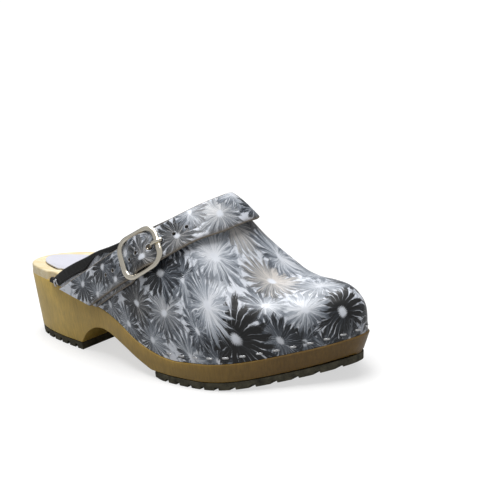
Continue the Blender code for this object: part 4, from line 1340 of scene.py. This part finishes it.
def make_staples():
    """All the staples as one piece."""
    shell = Shell()
    for centre, along, out in STAPLES:
        add_staple(shell, centre - STAPLE_SINK * out, along, out)
    run = lengths(TOPLINE_POINTS)
    for end in END_STAPLES:
        for at in (end, run[-1] - end):
            out = unit(along_path(at, run, TOPLINE_OUT))
            spot = along_path(at, run, TOPLINE_POINTS) - out * BINDING_LEG * END_STAPLE_PLACE
            centre = skin_points(spot, np.array([CLEARANCE + BINDING_THICKNESS]))[0]
            add_staple(shell, centre, out[0], form_normals(onto_form(spot))[0])
    # Bright flattened steel wire: a clean metal with a soft shine
    steel = material("bright_staple_steel", Base_Color="#D5D6D8", Metallic=1.0, Roughness=0.28)[0]
    staples = shell.make("steel_staples", steel)
    belongs(staples, "buckle_metal")


make_staples()


# The instep strap is the same leather in a plain band with raw edges and punched holes,
# from ledge to ledge. Its free end runs over a short tab that carries the buckle.
STRAP_WIDTH = 0.0210
STRAP_THICKNESS = 0.0018
STRAP_RISE = 0.0040
STRAP_ABOVE_LEDGE = 0.0008
BAR_SHOULDER = 0.0022
BAR_RAMP = 0.0075
STRAP_TILT = math.radians(29.7)
TAB_THICKNESS = 0.0014
TAB_OVERHANG = 0.0025
TAB_INSET = 0.0035
TAB_TAPER = 0.25
BUCKLE_LENGTH = 0.0300
BUCKLE_WIRE = 0.0011
BUCKLE_BREADTH = 1.3
BUCKLE_CORNER = 0.0075
BUCKLE_PLACE = 0.5233 * SOLE_LENGTH
BAR_BEND = 0.0007
WIRE_SWELL = 0.4
PRONG_RADIUS = 0.0007
PRONG_HOLE = 0.0078
PRONG_HOLE_DIAMETER = 0.0042
HOLE_PITCH = 0.0082
HOLE_DIAMETER = 0.0024
SLANT_RUN = 0.020
# Width and strength of the painted front edge band, partly bare leather and partly painted shade.
ROLLED_WIDTH = 0.0019
ROLLED_SHADE = 0.75


def strap_path():
    """Centre line of the strap on the last: distances from the crest, lateral side
    negative, and the points."""
    xs = np.linspace(STRAP_FOOT - 0.03, FAN_START * SOLE_LENGTH, 4000)
    plane = float(ledge_height(STRAP_FOOT)) + np.tan(STRAP_TILT) * (xs - STRAP_FOOT)
    crest_y, base, height, reach, full = form_sections(xs)
    top = int(np.argmax(plane > base + height))
    xs, plane = xs[:top], plane[:top]
    half = []
    for side in (0, 1):
        rise = np.clip((plane - base[:top]) / height[:top], 0, 1)
        out = (1 - rise ** full[:top]) ** (1 / full[:top])
        y = crest_y[:top] + (-1, 1)[side] * reach[side][:top] * out
        half.append(np.column_stack([xs, y, plane]))
    points = np.vstack([half[0], half[1][::-1]])
    length = lengths(points)
    return length - length[top - 1], points


STRAP_LENGTHS, STRAP_POINTS = strap_path()


def strap_centre(u):
    """Point of the strap's centre line at distances u from the crest, softened."""
    total = 0
    for offset in (-1.0, -0.5, 0.0, 0.5, 1.0):
        total = total + along_path(np.asarray(u) + offset * 0.004, STRAP_LENGTHS, STRAP_POINTS)
    return total / 5


def band_points(u, w, h):
    """Points of the strap's own space: u along it, w across it towards the heel and
    h off the leather."""
    u, w, h = (np.asarray(a, dtype=float) for a in (u, w, h))
    centre = onto_form(strap_centre(u))
    along = unit(strap_centre(u + 0.001) - strap_centre(u - 0.001))
    across = unit(np.cross(form_normals(centre), along))
    across *= np.where(across[:, 2] < 0, -1, 1)[:, None]
    return skin_points(centre + across * w[:, None], h)


def strap_end(w, side):
    """Distance along the strap at which its edge w meets the ledge."""
    reach = STRAP_LENGTHS[0] if side == LATERAL else STRAP_LENGTHS[-1]
    us = np.linspace(reach * 0.5, reach * 0.995, 160)
    spots = band_points(us, np.full(160, w), np.zeros(160))
    above = spots[:, 2] - ledge_height(spots[:, 0]) - STRAP_ABOVE_LEDGE
    return float(us[np.argmax(above < 0)])


BUCKLE_U = float(np.interp(BUCKLE_PLACE, STRAP_POINTS[:, 0][STRAP_LENGTHS < 0],
                           STRAP_LENGTHS[STRAP_LENGTHS < 0]))
TAB_UNDER = 0.0005
STRAP_UNDER = TAB_UNDER + TAB_THICKNESS + CLEARANCE
BAR_RADIUS = BUCKLE_WIRE
BAR_HEIGHT = CLEARANCE + BAR_RADIUS + CLEARANCE + 2 * PRONG_RADIUS
STRAP_OVER_BAR = BAR_HEIGHT + BAR_RADIUS + 2 * CLEARANCE + 2 * PRONG_RADIUS
FRAME_HEIGHT = STRAP_UNDER + STRAP_THICKNESS + CLEARANCE + BUCKLE_WIRE
FRAME_HALF_LENGTH = BUCKLE_LENGTH / 2 - BUCKLE_BREADTH * BUCKLE_WIRE
FRAME_HALF_WIDTH = STRAP_WIDTH / 2 + CLEARANCE + BUCKLE_BREADTH * BUCKLE_WIRE


def strap_lift(u):
    """Height of the strap's underside off the leather."""
    u = np.asarray(u, dtype=float)
    over_bar = ease(np.clip(1 - (np.abs(u - BUCKLE_U) - BAR_SHOULDER) / BAR_RAMP, 0, 1))
    crest = ease(np.clip(1 - np.abs(u) / (abs(BUCKLE_U) - BUCKLE_LENGTH / 2 - 0.002), 0, 1))
    return STRAP_UNDER + (STRAP_OVER_BAR - STRAP_UNDER) * over_bar + (STRAP_RISE - STRAP_UNDER) * crest


def band_section(left, right, thickness, across):
    """Closed section of a band with softly rounded edges, as places across it and
    heights, and the number of points that are not on its cut edges."""
    round_off = 0.3 * thickness
    w = list(np.linspace(left + round_off, right - round_off, across))
    top = [(a, thickness) for a in w]
    edge = [(right - 0.3 * round_off, thickness - 0.3 * round_off), (right, thickness - round_off),
            (right, round_off), (right - round_off, 0)]
    under = [(a, 0.0) for a in w[::-1]][1:]
    back = [(left, round_off), (left, thickness - round_off),
            (left + 0.3 * round_off, thickness - 0.3 * round_off)]
    return top + edge + under + back, across


def make_band(name, stations, across):
    """A band of leather through sections given as places along and across the strap and
    heights. The faces of its cut edges are set apart, and its front edge gets a painted darker
    band, partly bare leather and partly painted shade of the edge rolling away from the light."""
    shell = Shell()
    loops = [shell.add(band_points(u, w, h)) for u, w, h in stations]
    count = len(loops[0])
    for a, b in zip(loops, loops[1:]):
        for i in range(count):
            raw = across - 1 <= i < across + 3 or i >= count - 4
            j = (i + 1) % count
            shell.face((a[i], a[j], b[j], b[i]), int(raw))
    shell.face(loops[0], 1)
    shell.face(reversed(loops[-1]), 1)
    band = shape(name, np.array(shell.verts) - (ORIGIN_X, 0, 0), shell.faces, PRINTED_LEATHER, CUT_EDGE)
    band.data.polygons.foreach_set("material_index", shell.skins)
    flat = np.vstack([np.column_stack([u, w]) for u, w, _ in stations])
    store_flat(band, flat)
    paint(band, flat, STRAP_DAISIES)
    # The front edge's band: partly bare leather, partly painted shade of the edge rolling away from the
    # light.
    from_edge = np.concatenate([w - w.min() for _, w, _ in stations])
    store(band, "rolled_edge_and_shade", "FLOAT", ROLLED_SHADE * np.exp(-(from_edge / ROLLED_WIDTH) ** 2))
    clean(band.data, 0)
    return band


# Flowers of the strap and its tab: along and across the strap, in millimetres
STRAP_DAISIES = (
    (-124, 4, 15, 17, 0.34), (-112, -7, 14, 17, 0.50), (-98, 6, 15, 17, 0.18),
    (-88, -6, 14, 17, 0.48), (-74, 5, 15, 17, 0.56), (-61, -4, 15, 17, 0.36),
    (-50, 8, 13, 17, 0.66), (-38, -2, 15, 18, 0.46), (-26, 8, 13, 17, 0.56),
    (-12, -1, 17, 18, 0.74), (4, 8, 14, 17, 0.80), (16, -4, 16, 18, 0.42),
    (32, 5, 15, 17, 0.56), (48, -5, 15, 17, 0.24), (62, 6, 14, 17, 0.60),
    (76, -3, 15, 17, 0.40), (92, 5, 15, 17, 0.50), (108, -4, 14, 17, 0.32),
)


def make_strap():
    """The strap, with its row of punched holes."""
    half = STRAP_WIDTH / 2
    rows = np.array([-half, 0.0, half])
    feet = [[strap_end(w, side) for w in rows] for side in (LATERAL, MEDIAL)]
    section, across = band_section(-half, half, STRAP_THICKNESS, 15)
    w, rise = np.array(section).T
    stations = []
    for mark in np.linspace(feet[0][1], feet[1][1], 240):
        u = np.full(len(w), mark)
        for ends in feet:
            near = np.clip(1 - abs(mark - ends[1]) / SLANT_RUN, 0, 1)
            u += (np.interp(w, rows, ends) - ends[1]) * near
        stations.append((u, w, strap_lift(u) + rise))
    strap = make_band("leather_strap", stations, across)
    tools = []
    for k in range(-5, 4):
        radius = (HOLE_DIAMETER if k else PRONG_HOLE_DIAMETER) / 2
        u = BUCKLE_U + PRONG_HOLE + k * HOLE_PITCH
        low = float(strap_lift(u))
        shell = Shell()
        cos, sin = circle(28)
        loops = []
        for h in (low - 0.002, low + STRAP_THICKNESS + 0.002):
            ring = band_points(u + radius * cos[:, 0], radius * sin[:, 0], np.full(28, h))
            loops.append(shell.add(ring))
        shell.loft(loops, skin=1)
        tools.append(shell.make("punch", PRINTED_LEATHER, CUT_EDGE))
    cut(strap, tools, 45)
    belongs(strap, "printed_leather", "instep_strap")


def make_tab():
    """The tab under the strap's free end. It tapers to the buckle's bar."""
    half = STRAP_WIDTH / 2
    rows = np.array([-half - TAB_OVERHANG, -half / 2, 0.0, half - TAB_INSET])
    feet = np.array([strap_end(w, LATERAL) for w in rows])
    stop = BUCKLE_U - BAR_RADIUS - 3 * CLEARANCE
    narrow = half - 0.0005
    stations = []
    for k in np.linspace(0, 1, 60):
        shrink = ease(max(0, 1 - (1 - k) / TAB_TAPER))
        left = rows[0] + (-narrow - rows[0]) * shrink
        right = rows[-1] + (narrow - rows[-1]) * shrink
        section, across = band_section(left, right, TAB_THICKNESS, 11)
        w, rise = np.array(section).T
        foot = np.interp(w, rows, feet)
        u = foot + (stop - foot) * k
        stations.append((u, w, TAB_UNDER + rise))
    tab = make_band("leather_tab", stations, across)
    tab.data.set_sharp_from_angle(angle=math.radians(45))
    belongs(tab, "printed_leather", "buckle_tab")


make_strap()
make_tab()


# The buckle is bent steel wire, nickel plated and polished: a rounded frame with a
# dropped bar, and a prong hooked on the bar that lies through a hole in the strap.
def polished_nickel():
    """Nickel plate: a warm silver mirror with faint polishing waves."""
    made, tree, shader = material("polished_nickel", Base_Color="#EFE8D8", Metallic=1.0, Roughness=0.16)
    place = add(tree, "TexCoord", out="Object")
    wave = add(tree, "TexNoise", {"Vector": place, "Scale": 300.0, "Detail": 2.0})
    plug(shader, {"Normal": add(tree, "Bump", {"Height": wave, "Distance": 0.0002, "Strength": 0.15})})
    return made


NICKEL = polished_nickel()


def wire_loop(shell, path, radii, closed, breadths=1.0):
    """Sweeps a wire along a path given in the strap's space. Its radius, and how much
    broader than high it is, may change along it."""
    path = np.array(path)
    if closed:
        along = unit(np.roll(path, -1, axis=0) - np.roll(path, 1, axis=0))
    else:
        along = unit(np.gradient(path, axis=0))
    loops = []
    radii, breadths = np.broadcast_to(radii, len(path)), np.broadcast_to(breadths, len(path))
    cos, sin = circle(16)
    for point, way, radius, breadth in zip(path, along, radii, breadths):
        up = np.array([0, 0, 1.0]) if abs(way[2]) < 0.8 else np.array([1.0, 0, 0])
        side = unit(np.cross(way, up)[None])[0]
        lift = np.cross(side, way)
        ring = breadth * cos * side + sin * lift
        loops.append(shell.add(band_points(*(point + radius * ring).T)))
    shell.loft(loops, closed_path=closed)


def smooth_path(points, count):
    """A smooth path through points, with count places evenly along it."""
    points = np.array(points, dtype=float)
    for _ in range(4):
        ends = points[:1], points[-1:]
        near = 0.75 * points[:-1] + 0.25 * points[1:]
        far = 0.25 * points[:-1] + 0.75 * points[1:]
        middle = np.empty((2 * len(near), 3))
        middle[0::2], middle[1::2] = near, far
        points = np.vstack([ends[0], middle, ends[1]])
    length = lengths(points)
    return along_path(np.linspace(0, length[-1], count), length, points)


def make_buckle():
    """The frame and its bar as one piece."""
    frame_path = []
    breadths = []
    for cu, cw, start in ((1, 1, 0), (-1, 1, 90), (-1, -1, 180), (1, -1, 270)):
        for step in range(14):
            a = math.radians(start + 90 * step / 13)
            frame_path.append((
                BUCKLE_U + cu * (FRAME_HALF_LENGTH - BUCKLE_CORNER) + BUCKLE_CORNER * math.cos(a),
                cw * (FRAME_HALF_WIDTH - BUCKLE_CORNER) + BUCKLE_CORNER * math.sin(a),
                FRAME_HEIGHT,
            ))
            breadths.append(BUCKLE_BREADTH + WIRE_SWELL * math.cos(a) ** 2)
    shell = Shell()
    wire_loop(shell, frame_path, BUCKLE_WIRE, True, breadths)
    post = FRAME_HALF_WIDTH
    drop = smooth_path([(BUCKLE_U, w, h) for w, h in (
        (-post, FRAME_HEIGHT), (-post, BAR_HEIGHT + BAR_BEND), (-post + BAR_BEND, BAR_HEIGHT),
        (post - BAR_BEND, BAR_HEIGHT), (post, BAR_HEIGHT + BAR_BEND), (post, FRAME_HEIGHT))], 60)
    wire_loop(shell, drop, BAR_RADIUS * 0.95, False)
    buckle = shell.make("nickel_buckle", NICKEL)
    belongs(buckle, "buckle_metal", "buckle_frame")


def make_prong():
    """The prong, with its tip bent down over the frame."""
    gap = CLEARANCE + PRONG_RADIUS
    top = FRAME_HEIGHT + BUCKLE_WIRE + gap
    over = BAR_HEIGHT + BAR_RADIUS + gap
    hidden, seen = PRONG_HOLE - 0.0016, PRONG_HOLE + 0.0012
    below = [float(strap_lift(BUCKLE_U + u)) - gap - 0.0001 for u in (0.0044, hidden)]
    above = float(strap_lift(BUCKLE_U + seen)) + STRAP_THICKNESS + gap
    path = smooth_path([(BUCKLE_U + u, 0.0, h) for u, h in (
        (-0.0018, over), (0.0, over), (0.0022, over - 0.0003), (0.0044, below[0]), (hidden, below[1]),
        (PRONG_HOLE - 0.0002, (below[1] + above) / 2 - 0.0003), (seen, above),
        (seen + 0.0016, top - 0.0005), (FRAME_HALF_LENGTH - 0.0014, top),
        (FRAME_HALF_LENGTH + 0.0014, top - 0.0001), (FRAME_HALF_LENGTH + 0.0030, top - 0.0016))], 80)
    shell = Shell()
    wire_loop(shell, path, np.linspace(1.0, 1.45, len(path)) * PRONG_RADIUS, False, 1.2)
    prong = shell.make("nickel_prong", NICKEL)
    belongs(prong, "buckle_metal", "buckle_prong")


make_buckle()
make_prong()
